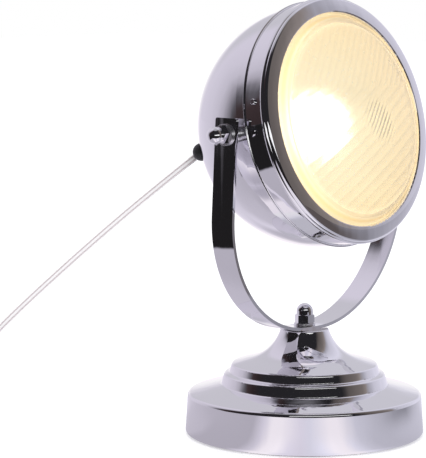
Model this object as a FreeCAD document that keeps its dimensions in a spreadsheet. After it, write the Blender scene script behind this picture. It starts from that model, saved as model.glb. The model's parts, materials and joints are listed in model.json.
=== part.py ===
import FreeCAD, Part
import math
import os

import Sketcher

# A tabletop searchlight lamp: a spun, stepped base, a flat strap bent into a U-shaped yoke that turns on the
# base's stud, and a round headlamp that tilts between the yoke's legs on two dome-nutted bolts.
#
# Frame: millimetres, +Z up, origin at the centre of the base's underside. The head faces -Y at rest and tilts
# about an axis along X. Head parts are turned about the head's own axis, which leaves the centre of the bowl's
# sphere towards the lens: their heights are counted along that axis from the sphere's centre.

Vector = FreeCAD.Vector

SIZES = {
    # Base shell: one sheet, spun in steps. Radii and heights are those of its outside.
    "base_radius": 90.0,
    "base_wall": 1.2,
    "rim_foot": 1.0,
    "rim_top_radius": 88.3,
    "rim_top_height": 31.6,
    "rim_rounding": 3.2,
    "lip_reach": 4.6,
    "lip_rounding": 1.6,
    "shoulder_radius": 62.9,
    "shoulder_height": 38.0,
    "step_radius": 60.8,
    "step_height": 46.2,
    "step_rounding": 2.2,
    "step_rise": 1.0,
    "step_hollow": 1.6,
    "crown_foot_radius": 56.8,
    "crown_radius": 55.1,
    "crown_height": 53.4,
    "crown_slope": 15.5,
    "flare_foot_radius": 41.0,
    "flare_radius": 33.0,
    "neck_edge": 1.2,
    "neck_height": 80.0,
    # What the base holds
    "weight_inset": 4.3,
    "weight_bottom": 24.0,
    "weight_gap": 0.3,
    "board_thickness": 3.0,
    "board_play": 1.5,
    "felt_gap": 0.4,
    # M8 fasteners: a stud, bolts, nuts, washers and dome nuts
    "thread_radius": 4.0,
    "running_gap": 0.05,
    "clearance_radius": 4.25,
    "nut_width": 13.0,
    "nut_height": 6.4,
    "bolt_head_height": 5.3,
    "nut_chamfer": 0.7,
    "washer_radius": 8.0,
    "washer_thickness": 1.6,
    "dome_nut_hex": 6.5,
    "dome_nut_height": 15.0,
    "dome_radius": 6.25,
    "dome_nut_depth": 11.0,
    "stud_foot": 3.0,
    # Yoke strap
    "strap_thickness": 2.5,
    "strap_width": 20.0,
    "strap_clearance": 6.0,
    "strap_seat": 5.5,
    "strap_rake": 3.0,
    "strap_end": 12.0,
    "strap_corner": 1.8,
    # Head: where it hangs
    "pivot_height": 232.5,
    "head_tilt": 12.5,
    "centre_ahead": 5.0,
    # Head: bowl and trim ring
    "bowl_radius": 90.0,
    "bowl_wall": 1.0,
    "bowl_mouth": 20.5,
    "ring_wall": 0.8,
    "ring_gap": 0.15,
    "ring_rear": 9.0,
    "ring_bead_foot": 24.4,
    "ring_bead_end": 27.6,
    "ring_bead_radius": 1.7,
    "ring_edge_rise": 2.3,
    "ring_edge_radius": 2.2,
    "ring_front_rise": 1.5,
    "ring_front_bow": 45.0,
    "ring_face_width": 10.4,
    "ring_rear_flare": 1.2,
    "ring_mouth_edge": 0.9,
    "ring_lip": 0.6,
    "screw_height": 18.0,
    "screw_angle": 167.8,
    "screw_count": 3.0,
    "screw_radius": 1.5,
    "screw_head_radius": 2.15,
    "screw_head_height": 1.6,
    "screw_slot_width": 0.5,
    "screw_slot_depth": 0.8,
    "screw_length": 5.0,
    "screw_chamfer": 0.4,
    # Head: lens, gasket and reflector
    "pack_inset": 5.5,
    "lens_seat": 26.4,
    "lens_flange": 2.8,
    "lens_flange_width": 6.1,
    "lens_flank": 4.4,
    "lens_shoulder_rise": 6.3,
    "lens_sag": 8.5,
    "lens_wall": 3.2,
    "gasket_thickness": 1.8,
    "gasket_width": 5.0,
    "reflector_wall": 0.8,
    "reflector_flange": 4.7,
    "reflector_bow": 95.0,
    "reflector_depth": 60.0,
    "reflector_plate_radius": 19.0,
    "reflector_hole_radius": 14.4,
    "clip_count": 4.0,
    "clip_angle": 113.8,
    "clip_width": 9.0,
    "clip_thickness": 0.6,
    "clip_grip": 4.0,
    "clip_gap": 0.3,
    # Head: lamp holder and bulb
    "holder_radius": 13.5,
    "holder_bore": 7.3,
    "holder_length": 30.0,
    "holder_floor": 5.0,
    "holder_flange_radius": 17.0,
    "holder_flange": 2.2,
    "holder_front": 4.8,
    "holder_ring_height": 4.0,
    "holder_chamfer": 1.5,
    "ring_chamfer": 1.0,
    "bulb_radius": 22.5,
    "bulb_neck_angle": 30.0,
    "bulb_neck_radius": 8.2,
    "bulb_glass_wall": 0.6,
    "bulb_rise": 28.0,
    "cap_radius": 6.9,
    "cap_length": 25.5,
    # Head: pivots
    "spacer_radius": 7.0,
    # Head: flex entry
    "entry_turn": 38.4,
    "entry_drop": 3.1,
    "grommet_hole_radius": 5.0,
    "grommet_radius": 6.75,
    "grommet_sink": 0.5,
    "grommet_flange_radius": 7.5,
    "grommet_flange": 4.0,
    "flex_clamp_radius": 5.0,
    "flex_clamp_length": 6.0,
    # Flex, its switch and its plug
    "flex_radius": 2.7,
    "coil_radius": 27.0,
    "coil_half_width": 8.1,
    "coil_height": 9.1,
    "coil_rounding": 2.6,
    "switch_length": 56.0,
    "switch_width": 27.0,
    "switch_height": 18.0,
    "switch_split": 9.0,
    "switch_corner": 9.0,
    "switch_edge": 2.5,
    "switch_wall": 2.0,
    "rocker_length": 20.0,
    "rocker_width": 12.0,
    "rocker_rise": 1.8,
    "rocker_depth": 6.0,
    "rocker_gap": 0.4,
    "rocker_bow": 34.0,
    "rocker_throw": 7.0,
    "trunnion_radius": 1.0,
    "trunnion_reach": 1.2,
    "case_end_wall": 8.0,
    "case_screw_inset": 4.5,
    "case_screw_radius": 1.4,
    "case_screw_head_radius": 2.4,
    "case_screw_head": 1.3,
    "case_screw_sink": 1.6,
    "case_screw_grip": 5.0,
    "plug_length": 36.0,
    "plug_width": 35.3,
    "plug_thickness": 13.7,
    "plug_tail_width": 16.0,
    "plug_corner": 4.5,
    "pin_radius": 2.0,
    "pin_spacing": 18.6,
    "pin_length": 19.0,
    "relief_length": 22.0,
    "relief_radius": 4.6,
}

# The flex's route: down behind the lamp from its grommet, round on the table and into the switch, then on to the
# coil, and from the coil to the plug. The drop's first two points are set off from the middle of the grommet's
# dome, which moves with the head's sizes.
ENTRY_OFFSETS = [
    (-2.95, 4.413, -4.158),
    (-21.82, 32.693, -31.198),
]
DROP_POINTS = [
    (-106.19, 130.40, 137.7),
    (-136.16, 175.32, 88.0),
    (-150.6, 196.9, 60.5),
    (-161.7, 213.6, 38.0),
    (-171.1, 227.7, 20.0),
    (-182.2, 241.9, 8.0),
    (-197.8, 252.8, 3.3),
    (-207.25, 253.65, 3.0),
]
SWITCH_SIDE_POINTS = [
    (-207.25, 253.65, 3.0),
    (-216.7, 254.5, 2.7),
    (-233.8, 246.2, 2.7),
    (-243.6, 231.5, 2.9),
    (-246.9, 219.0, 5.6),
    (-247.1, 208.6, 9.0),
    (-247.1, 198.6, 9.0),
]
COIL_SIDE_POINTS = [
    (-247.1, 142.6, 9.0),
    (-247.1, 133.0, 9.0),
    (-247.1, 124.0, 6.2),
    (-247.1, 116.0, 4.6),
]
PLUG_SIDE_POINTS = [
    (-311.9, 117.5, 7.5),
    (-312.1, 126.0, 7.2),
    (-311.64, 134.15, 6.85),
    (-309.9, 144.0, 6.85),
]
SWITCH_MIDDLE = (-247.1, 170.6)
COIL_MIDDLE = (-279.5, 106.0)
PLUG_START = (-309.9, 144.0)
PLUG_HEADING = 80.0


# --- Sizes that carry their sheet formula ---------------------------------------------------------------------


def number(size):
    """The plain number of a size or of a bare number."""
    return size.number if isinstance(size, Size) else float(size)


def formula(size):
    """The sheet formula of a size or of a bare number."""
    return size.formula if isinstance(size, Size) else f"({float(size)!r})"


class Size:
    """A number with the spreadsheet formula that gives it, so that sums of sizes stay bound to the sheet."""

    def __init__(self, value, text):
        self.number = value
        self.formula = text

    def __add__(self, other):
        return Size(self.number + number(other), f"({self.formula} + {formula(other)})")

    def __radd__(self, other):
        return Size(number(other) + self.number, f"({formula(other)} + {self.formula})")

    def __sub__(self, other):
        return Size(self.number - number(other), f"({self.formula} - {formula(other)})")

    def __rsub__(self, other):
        return Size(number(other) - self.number, f"({formula(other)} - {self.formula})")

    def __mul__(self, other):
        return Size(self.number * number(other), f"({self.formula} * {formula(other)})")

    __rmul__ = __mul__

    def __truediv__(self, other):
        return Size(self.number / number(other), f"({self.formula} / {formula(other)})")

    def __rtruediv__(self, other):
        return Size(number(other) / self.number, f"({formula(other)} / {self.formula})")

    def __neg__(self):
        return Size(-self.number, f"(0 - {self.formula})")


def root(size):
    return Size(math.sqrt(number(size)), f"sqrt({formula(size)})")


def sine(degrees):
    return Size(math.sin(math.radians(number(degrees))), f"sin({formula(degrees)})")


def cosine(degrees):
    return Size(math.cos(math.radians(number(degrees))), f"cos({formula(degrees)})")


def tangent(degrees):
    return Size(math.tan(math.radians(number(degrees))), f"tan({formula(degrees)})")


def beside(radius, height):
    """How far a circle of this radius reaches sideways at this height above its centre."""
    return root(radius * radius - height * height)


class Sheet:
    """The document's spreadsheet: each driving dimension as a cell with an alias, and as an attribute here."""

    def __init__(self, document, sizes):
        cells = document.addObject("Spreadsheet::Sheet", "Sizes")
        for row, (alias, value) in enumerate(sizes.items(), start=1):
            cells.set(f"A{row}", alias.replace("_", " "))
            cells.set(f"B{row}", str(value))
            cells.setAlias(f"B{row}", alias)
            setattr(self, alias, Size(value, f"Sizes.{alias}"))
        document.recompute()


doc = FreeCAD.newDocument("searchlight_lamp")
size = Sheet(doc, SIZES)
nodes = []


def name_node(feature, label):
    """Labels a finished sub-part and puts it on the list of what is written."""
    feature.Label = label
    nodes.append(feature)
    return feature


def place(feature, text):
    feature.setExpression("Placement", text)


# --- Places -------------------------------------------------------------------------------------------------

def at_height(height):
    """A place on the lamp's upright axis."""
    return f"placement(vector(0; 0; {formula(height)}); rotation(vector(0; 0; 1); 0))"


pivot_y = -(size.pivot_height - size.neck_height) * tangent(size.strap_rake)
sphere_y = pivot_y - size.centre_ahead * cosine(size.head_tilt)
sphere_z = size.pivot_height + size.centre_ahead * sine(size.head_tilt)
HEAD = (
    f"placement(vector(0; {formula(sphere_y)}; {formula(sphere_z)}); "
    "rotation(vector(1; 0; 0); 90 - Sizes.head_tilt))"
)


strap_inside = size.bowl_radius + size.strap_clearance
pack_radius = size.bowl_radius - size.pack_inset
weight_radius = size.rim_top_radius - size.weight_inset


def entry_point(reach):
    """The numbers of the point at this distance from the bowl's middle on the axis of the flex entry."""
    turn = FreeCAD.Rotation(Vector(1, 0, 0), 90 - SIZES["head_tilt"])
    turn = turn * FreeCAD.Rotation(Vector(0, 1, 0), 180 + SIZES["entry_turn"])
    turn = turn * FreeCAD.Rotation(Vector(1, 0, 0), SIZES["entry_drop"])
    return Vector(0, number(sphere_y), number(sphere_z)) + turn.multVec(Vector(0, 0, reach))


def turned_about(axis, degrees, along=0):
    """A turn about an axis through the origin, after a shift along Z of what is placed."""
    shift = f"placement(vector(0; 0; {formula(along)}); rotation(vector(0; 0; 1); 0))"
    return f"placement(vector(0; 0; 0); rotation(vector({axis}); {formula(degrees)})) * {shift}"


def on_head(*turns):
    return " * ".join([HEAD, *turns])


FLEX_ENTRY = on_head(
    turned_about("0; 1; 0", 180 + size.entry_turn),
    turned_about("1; 0; 0", size.entry_drop),
)


def on_pivot(side, along):
    """A place on the pivot axis, at this distance from the middle, with Z pointing outwards."""
    turn = f"rotation(vector(0; 1; 0); {90 * side})"
    out = formula(side * along)
    return on_head(f"placement(vector({out}; 0; {formula(-size.centre_ahead)}); {turn})")


# --- Sketches and the features made from them ------------------------------------------------------------------


def role(body, wanted):
    """The body's own origin plane or axis with this role."""
    return next(item for item in body.Origin.OriginFeatures if item.Role == wanted)


def point_of(corner):
    return Vector(number(corner[0]), number(corner[1]), 0)


def arc_through(start, end, radius):
    """The lesser arc between two points. A positive radius turns left on the way, a negative one right."""
    chord = end - start
    middle = (start + end) * 0.5
    lift = math.sqrt(max(radius * radius - chord.Length ** 2 / 4, 0.0))
    left = Vector(-chord.y, chord.x, 0).normalize()
    centre = middle + left * (lift if radius > 0 else -lift)
    first, last = (start, end) if radius > 0 else (end, start)
    begin = math.atan2(first.y - centre.y, first.x - centre.x)
    finish = math.atan2(last.y - centre.y, last.x - centre.x)
    circle = Part.Circle(centre, Vector(0, 0, 1), abs(radius))
    return Part.ArcOfCircle(circle, begin, finish)


def outline(sketch, corners, closed=True):
    """Draws straight runs and arcs through the corners, with each corner tied to the sheet.

    A corner is (across, up). With a third item it is {"round": radius}, a rounded corner between two straight
    runs, or {"arc": radius}, a corner that is reached by an arc, which turns left when the radius is positive.
    """
    count = len(corners)
    places = [point_of(corner) for corner in corners]
    extras = [corner[2] if len(corner) > 2 else {} for corner in corners]
    arrive = list(places)
    leave = list(places)
    for index, extra in enumerate(extras):
        if "round" in extra:
            inward = (places[index] - places[index - 1]).normalize()
            outward = (places[(index + 1) % count] - places[index]).normalize()
            half_turn = inward.getAngle(outward) / 2
            reach = number(extra["round"]) * math.tan(half_turn)
            arrive[index] = places[index] - inward * reach
            leave[index] = places[index] + outward * reach
    ties = []
    texts = []

    def tie(kind, *arguments, size_=None):
        if size_ is not None:
            arguments = (*arguments, number(size_))
        ties.append(Sketcher.Constraint(kind, *arguments))
        texts.append(formula(size_) if isinstance(size_, Size) else None)

    def pin(curve, end, corner):
        tie("DistanceX", curve, end, size_=corner[0])
        tie("DistanceY", curve, end, size_=corner[1])

    runs = {}
    for index in range(count if closed else count - 1):
        following = (index + 1) % count
        bow = extras[following].get("arc")
        if bow is None:
            curve = sketch.addGeometry(Part.LineSegment(leave[index], arrive[following]))
            runs[index] = (curve, 1, 2)
        else:
            curve = sketch.addGeometry(arc_through(leave[index], arrive[following], number(bow)))
            runs[index] = (curve, 1, 2) if number(bow) > 0 else (curve, 2, 1)
            tie("Radius", curve, size_=bow if number(bow) > 0 else -bow)
    for index in range(count):
        before = runs.get((index - 1) % count)
        after = runs.get(index)
        corner = corners[index]
        if "round" in extras[index]:
            inward = places[index] - places[index - 1]
            outward = places[(index + 1) % count] - places[index]
            left = inward.cross(outward).z > 0
            radius = number(extras[index]["round"]) * (1 if left else -1)
            curve = sketch.addGeometry(arc_through(arrive[index], leave[index], radius))
            start, end = (1, 2) if left else (2, 1)
            tie("Tangent", before[0], before[2], curve, start)
            tie("Tangent", curve, end, after[0], after[1])
            tie("Radius", curve, size_=extras[index]["round"])
            vertex = sketch.addGeometry(Part.Point(places[index]))
            sketch.setConstruction(vertex, True)
            tie("PointOnObject", vertex, 1, before[0])
            tie("PointOnObject", vertex, 1, after[0])
            pin(vertex, 1, corner)
        elif before and after:
            tie("Coincident", before[0], before[2], after[0], after[1])
            pin(after[0], after[1], corner)
        elif after:
            pin(after[0], after[1], corner)
        elif before:
            pin(before[0], before[2], corner)
    numbers = sketch.addConstraint(ties)
    for index, text in zip(numbers, texts):
        if text:
            sketch.setExpression(f"Constraints[{index}]", text)


def new_sketch(body, plane, corners):
    sketch = body.newObject("Sketcher::SketchObject", "outline")
    sketch.AttachmentSupport = [(role(body, plane), "")]
    sketch.MapMode = "FlatFace"
    if corners:
        outline(sketch, corners)
    return sketch


def round_hole_sketch(body, plane, radius, across, up):
    sketch = new_sketch(body, plane, None)
    middle = Vector(number(across), number(up), 0)
    sketch.addGeometry(Part.Circle(middle, Vector(0, 0, 1), number(radius)))
    ties = [
        (Sketcher.Constraint("Radius", 0, number(radius)), radius),
        (Sketcher.Constraint("DistanceX", 0, 3, middle.x), across),
        (Sketcher.Constraint("DistanceY", 0, 3, middle.y), up),
    ]
    for tie, bound in ties:
        index = sketch.addConstraint(tie)
        if isinstance(bound, Size):
            sketch.setExpression(f"Constraints[{index}]", bound.formula)
    return sketch


def new_body(name):
    return doc.addObject("PartDesign::Body", name)


def spin(body, corners, kind="PartDesign::Revolution"):
    """Adds or cuts the turned form of an outline drawn beside the body's own Z axis."""
    sketch = new_sketch(body, "XZ_Plane", corners)
    turned = body.newObject(kind, "turned")
    turned.Profile = sketch
    turned.ReferenceAxis = (sketch, ["V_Axis"])
    turned.Angle = 360
    return turned


def turned_body(name, corners, text=None):
    """A piece turned on a lathe about its own Z axis."""
    body = new_body(name)
    spin(body, corners)
    if text:
        place(body, text)
    return body


def pad(body, sketch, length, symmetric=False):
    raised = body.newObject("PartDesign::Pad", "raised")
    raised.Profile = sketch
    raised.setExpression("Length", formula(length))
    if symmetric:
        raised.SideType = "Symmetric"
    return raised


def cut_through(body, sketch):
    """A pocket through the whole body, both ways from the sketch."""
    pocket = body.newObject("PartDesign::Pocket", "cut")
    pocket.Profile = sketch
    pocket.SideType = "Symmetric"
    pocket.Type = "ThroughAll"
    return pocket


def spun_sheet(name, corners, wall, text=None):
    """A spun sheet: the middle line of its section, thickened to the wall and turned about Z."""
    line = doc.addObject("Sketcher::SketchObject", name + "_line")
    line.Placement = FreeCAD.Placement(Vector(0, 0, 0), FreeCAD.Rotation(Vector(1, 0, 0), 90))
    outline(line, corners, closed=False)
    section = doc.addObject("Part::Offset2D", name + "_section")
    section.Source = line
    section.Fill = True
    section.Join = 0
    section.Value = number(wall) / 2
    section.setExpression("Value", formula(wall / 2))
    shell = doc.addObject("Part::Revolution", name)
    shell.Source = section
    shell.Axis = Vector(0, 0, 1)
    shell.Angle = 360
    shell.Solid = True
    if text:
        place(shell, text)
    return shell


def cylinder(name, radius, length, text):
    rod = doc.addObject("Part::Cylinder", name)
    rod.setExpression("Radius", formula(radius))
    rod.setExpression("Height", formula(length))
    place(rod, text)
    return rod


def cut(name, base, tool):
    result = doc.addObject("Part::Cut", name)
    result.Base = base
    result.Tool = tool
    return result


def group(name, pieces):
    """Separate solids of one kind that share a node."""
    result = doc.addObject("Part::Compound", name)
    result.Links = pieces
    return result


def hexagon(width):
    """The corners of a nut's section, from its width across flats."""
    corner = width / math.sqrt(3)
    return [
        (corner * math.cos(math.radians(60 * turn)), corner * math.sin(math.radians(60 * turn)))
        for turn in range(6)
    ]


def hex_body(name, height, text, top_chamfer=True):
    """A hexagonal prism whose corners are turned off at its ends, as on a nut."""
    body = new_body(name)
    pad(body, new_sketch(body, "XY_Plane", hexagon(size.nut_width)), height)
    inner = size.nut_width / 2
    outer = size.nut_width * 0.6
    chamfer = size.nut_chamfer
    spin(body, [(inner, 0), (outer, 0), (outer, chamfer)], "PartDesign::Groove")
    if top_chamfer:
        spin(body, [(inner, height), (outer, height - chamfer), (outer, height)], "PartDesign::Groove")
    place(body, text)
    return body


def washer(name, hole, text, radius=None):
    outer = radius or size.washer_radius
    thickness = size.washer_thickness
    return turned_body(name, [(hole, 0), (outer, 0), (outer, thickness), (hole, thickness)], text)


def dome_nut(name, text):
    """An acorn nut, standing on its hexagon, with a blind threaded hole."""
    body = hex_body(name, size.dome_nut_hex, text)
    dome_foot = size.dome_nut_height - size.dome_radius
    spin(
        body,
        [
            (0, size.dome_nut_hex - size.nut_chamfer),
            (size.dome_radius, size.dome_nut_hex - size.nut_chamfer),
            (size.dome_radius, dome_foot),
            (0, size.dome_nut_height, {"arc": size.dome_radius}),
        ],
    )
    bore = size.thread_radius + size.running_gap
    spin(
        body,
        [(0, -1), (bore, -1), (bore, size.dome_nut_depth), (0, size.dome_nut_depth + bore / 2)],
        "PartDesign::Groove",
    )
    return body


# --- Base -----------------------------------------------------------------------------------------------------


def base_shell():
    """One spun sheet: a flared neck, a sloping crown, two drafted steps, a sloping shoulder and a turned-in rim."""
    half = size.base_wall / 2
    top = size.neck_height - half
    bend = size.flare_radius + half
    edge = size.neck_edge - half
    slope = tangent(size.crown_slope)
    flare_foot_height = size.crown_height + (size.crown_radius - size.flare_foot_radius) * slope
    flare_middle = size.flare_foot_radius + size.flare_radius * sine(size.crown_slope)
    flare_height = flare_foot_height + size.flare_radius * cosine(size.crown_slope)
    rise = flare_height - top + edge
    start = flare_middle - beside(bend + edge, rise)
    share = edge / (bend + edge)
    foot = flare_middle - bend * sine(size.crown_slope)
    foot_height = flare_height - bend * cosine(size.crown_slope)
    crown = size.crown_radius - half
    rounding = {"round": size.step_rounding - half}
    hollow = {"round": size.step_hollow + half}
    corners = [
        (size.clearance_radius + half, top),
        (start, top),
        (start + (flare_middle - start) * share, top - edge + rise * share, {"arc": -edge}),
        (foot, foot_height, {"arc": bend}),
        (crown, foot_height - (crown - foot) * slope, rounding),
        (size.crown_foot_radius - half, size.step_height + size.step_rise - half, hollow),
        (size.step_radius - half, size.step_height - half, rounding),
        (size.shoulder_radius - half, size.shoulder_height - half, hollow),
        (size.rim_top_radius - half, size.rim_top_height - half, {"round": size.rim_rounding - half}),
        (size.base_radius - half, size.rim_foot + half, {"round": size.lip_rounding}),
        (size.base_radius - size.lip_reach, size.rim_foot + half),
    ]
    return spun_sheet("base_shell", corners, size.base_wall)


def under_shoulder(radius):
    """The height under the shell's shoulder, less the gap that the weight keeps to it."""
    slope = (size.shoulder_height - size.rim_top_height) / (size.rim_top_radius - size.shoulder_radius)
    drop = size.base_wall + size.weight_gap
    return size.rim_top_height + (size.rim_top_radius - radius) * slope - drop


def base_weight():
    hole = size.clearance_radius
    inner = size.shoulder_radius
    edge = weight_radius
    return turned_body(
        "base_weight",
        [
            (hole, size.weight_bottom),
            (edge, size.weight_bottom),
            (edge, under_shoulder(edge)),
            (inner, under_shoulder(inner)),
            (hole, under_shoulder(inner)),
        ],
    )


board_bottom = size.rim_foot + size.base_wall


def base_board():
    radius = size.base_radius - size.base_wall - size.board_play
    top = board_bottom + size.board_thickness
    return turned_body("base_board", [(0, board_bottom), (radius, board_bottom), (radius, top), (0, top)])


def base_felt():
    radius = size.base_radius - size.lip_reach - size.base_wall / 2 - size.felt_gap
    return turned_body("base_felt", [(0, 0), (radius, 0), (radius, board_bottom), (0, board_bottom)])


strap_top = size.neck_height + size.strap_thickness
washer_foot = strap_top + size.running_gap
dome_nut_foot = washer_foot + size.washer_thickness
stud_top = dome_nut_foot + size.dome_nut_depth - size.running_gap
stud_washer_foot = size.weight_bottom - size.washer_thickness
stud_nut_foot = stud_washer_foot - size.nut_height
stud_bottom = stud_nut_foot - size.stud_foot


def base_fasteners():
    stud = cylinder("base_stud", size.thread_radius, stud_top - stud_bottom, at_height(stud_bottom))
    name_node(stud, "base_stud")
    bore = size.thread_radius + size.running_gap
    nut = hex_body("stud_nut", size.nut_height, at_height(stud_nut_foot))
    spin(nut, [(0, -1), (bore, -1), (bore, size.nut_height + 1), (0, size.nut_height + 1)], "PartDesign::Groove")
    name_node(nut, "stud_nut")
    name_node(washer("stud_washer", size.clearance_radius, at_height(stud_washer_foot)), "stud_washer")
    name_node(washer("dome_nut_washer", size.clearance_radius, at_height(washer_foot)), "dome_nut_washer")
    name_node(dome_nut("base_dome_nut", at_height(dome_nut_foot)), "base_dome_nut")


# --- Yoke -----------------------------------------------------------------------------------------------------


def yoke_strap():
    """A flat strap bent round the head, its legs leaning forwards within their own planes."""
    inside = strap_inside
    outside = inside + size.strap_thickness
    seat = size.strap_seat
    bottom = size.neck_height
    end = size.pivot_height + size.strap_end
    outer_bend = outside - seat
    inner_bend = inside - seat
    body = new_body("yoke_strap")
    bend_height = bottom + outer_bend
    section = new_sketch(
        body,
        "XZ_Plane",
        [
            (-seat, bottom),
            (seat, bottom),
            (outside, bend_height, {"arc": outer_bend}),
            (outside, end),
            (inside, end),
            (inside, bend_height),
            (seat, strap_top, {"arc": -inner_bend}),
            (-seat, strap_top),
            (-inside, bend_height, {"arc": -inner_bend}),
            (-inside, end),
            (-outside, end),
            (-outside, bend_height),
            (-seat, bottom, {"arc": outer_bend}),
        ][1:],
    )
    pad(body, section, size.strap_width * 3, symmetric=True)
    half = size.strap_width / 2
    lean = tangent(size.strap_rake)
    foot = bottom - 1
    foot_y = lean * 1
    end_y = -(end - bottom) * lean
    reach = size.strap_width * 2
    side = new_sketch(
        body,
        "YZ_Plane",
        [
            (foot_y - half, foot),
            (foot_y + half, foot),
            (end_y + half, end, {"round": size.strap_corner}),
            (end_y - half, end, {"round": size.strap_corner}),
        ],
    )
    outline(side, [(-reach, foot - 1), (reach, foot - 1), (reach, end + 1), (-reach, end + 1)])
    cut_through(body, side)
    bore = size.thread_radius + size.running_gap
    cut_through(body, round_hole_sketch(body, "YZ_Plane", bore, pivot_y, size.pivot_height))
    cut_through(body, round_hole_sketch(body, "XY_Plane", bore, 0, 0))
    return body


# --- Head: bowl and trim ring ------------------------------------------------------------------------------------


def flex_entry_rod(name, radius, foot, length):
    """A cylinder on the axis along which the flex enters the bowl."""
    shift = f"placement(vector(0; 0; {formula(foot)}); rotation(vector(0; 0; 1); 0))"
    return cylinder(name, radius, length, f"{FLEX_ENTRY} * {shift}")


def screw_place(turn, foot):
    """The place of one trim screw: its axis points outwards, square to the head's axis."""
    angle = size.screw_angle + 360 / size.screw_count * turn
    shift = f"placement(vector(0; 0; {formula(foot)}); rotation(vector(0; 0; 1); 0))"
    up = f"placement(vector(0; 0; {formula(size.screw_height)}); rotation(vector(0; 0; 1); 0))"
    return on_head(up, turned_about("0; 0; 1", angle), turned_about("0; 1; 0", 90), shift)


def drilled_for_screws(shell, name):
    """Cuts the trim screws' holes through a shell."""
    foot = size.bowl_radius - size.bowl_wall - 2
    hole = size.screw_radius + size.running_gap
    for turn in range(round(SIZES["screw_count"])):
        drill = cylinder(f"{name}_drill", hole, size.screw_length + 4, screw_place(turn, foot))
        shell = cut(f"{name}_drilled", shell, drill)
    return shell


def head_bowl():
    outer = size.bowl_radius
    inner = size.bowl_radius - size.bowl_wall
    mouth = size.bowl_mouth
    corners = [
        (0, -outer),
        (outer, 0, {"arc": outer}),
        (outer, mouth),
        (inner, mouth),
        (inner, 0),
        (0, -inner, {"arc": -inner}),
    ]
    body = turned_body("bowl_blank", corners, HEAD)
    bore = size.thread_radius + size.running_gap
    cut_through(body, round_hole_sketch(body, "YZ_Plane", bore, 0, -size.centre_ahead))
    drill = flex_entry_rod("entry_drill", size.grommet_hole_radius, inner - 5, size.bowl_wall + 10)
    return drilled_for_screws(cut("bowl_with_entry", body, drill), "bowl")


ring_line = size.bowl_radius + size.ring_gap + size.ring_wall / 2


def trim_ring():
    """The rim that holds the lens: a flared rear edge, a plain band, a bead, and a gently domed face."""
    line = ring_line
    flare = size.ring_rear_flare
    edge = size.ring_edge_radius
    edge_height = size.ring_bead_end + size.ring_edge_rise
    mouth = size.bowl_radius - size.ring_face_width
    mouth_edge = size.ring_mouth_edge
    mouth_height = edge_height + size.ring_front_rise
    lip_height = mouth_height - mouth_edge
    corners = [
        (line + flare, size.ring_rear),
        (line, size.ring_rear + flare, {"arc": -flare}),
        (line, size.ring_bead_foot),
        (line, size.ring_bead_end, {"arc": size.ring_bead_radius}),
        (line - edge + 0.25, edge_height, {"arc": edge}),
        (mouth + mouth_edge, mouth_height, {"arc": size.ring_front_bow}),
        (mouth, lip_height, {"arc": mouth_edge}),
        (mouth, lip_height - size.ring_lip),
    ]
    return drilled_for_screws(spun_sheet("ring_blank", corners, size.ring_wall, HEAD), "ring")


def trim_screws():
    """Slotted cheese-head screws through the ring's band into the bowl."""
    seat = size.bowl_radius + size.ring_gap + size.ring_wall
    screws = []
    for turn in range(round(SIZES["screw_count"])):
        body = new_body("trim_screw")
        head = size.screw_head_radius
        foot = seat - size.screw_length
        top = seat + size.screw_head_height
        shank = size.screw_radius
        spin(
            body,
            [
                (0, foot),
                (shank, foot),
                (shank, seat),
                (head, seat),
                (head, top - size.screw_chamfer),
                (head - size.screw_chamfer, top),
                (0, top),
            ],
        )
        slot = size.screw_slot_width / 2
        floor = top - size.screw_slot_depth
        sketch = new_sketch(body, "XZ_Plane", [(-slot, floor), (slot, floor), (slot, top + 1), (-slot, top + 1)])
        cut_through(body, sketch)
        place(body, screw_place(turn, 0))
        screws.append(body)
    return group("trim_screws", screws)


# --- Head: lens pack -----------------------------------------------------------------------------------------------

lens_foot = size.lens_seat
flange_top = size.lens_seat + size.lens_flange
lens_foot_radius = pack_radius - size.lens_flange_width
lens_shoulder = lens_foot_radius - size.lens_flank
lens_shoulder_height = flange_top + size.lens_shoulder_rise


def dome_radius(half_width, sag):
    """The radius of a dome that rises by its sag over this half width."""
    return (half_width * half_width + sag * sag) / (sag * 2)


def lens():
    """A domed glass with a raised conical shoulder and a flat flange."""
    shoulder = lens_shoulder
    shoulder_height = lens_shoulder_height
    wall = size.lens_wall
    inner = shoulder - wall
    top = shoulder_height + size.lens_sag
    corners = [
        (0, top - wall),
        (inner, shoulder_height - wall / 2, {"arc": -dome_radius(inner, size.lens_sag - wall / 2)}),
        (lens_foot_radius - wall, lens_foot),
        (pack_radius, lens_foot),
        (pack_radius, flange_top),
        (lens_foot_radius, flange_top),
        (shoulder, shoulder_height),
        (0, top, {"arc": dome_radius(shoulder, size.lens_sag)}),
    ]
    return turned_body("lens", corners, HEAD)


gasket_foot = lens_foot - size.gasket_thickness
reflector_foot = gasket_foot - size.reflector_wall


def lens_gasket():
    outer = pack_radius
    inner = outer - size.gasket_width
    corners = [(inner, gasket_foot), (outer, gasket_foot), (outer, lens_foot), (inner, lens_foot)]
    return turned_body("lens_gasket", corners, HEAD)


plate_height = gasket_foot - size.reflector_depth


def reflector():
    half = size.reflector_wall / 2
    flange_height = reflector_foot + half
    corners = [
        (pack_radius - half, flange_height),
        (pack_radius - size.reflector_flange, flange_height),
        (size.reflector_plate_radius, plate_height, {"arc": -size.reflector_bow}),
        (size.reflector_hole_radius + half, plate_height),
    ]
    return spun_sheet("reflector", corners, size.reflector_wall, HEAD)


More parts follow.
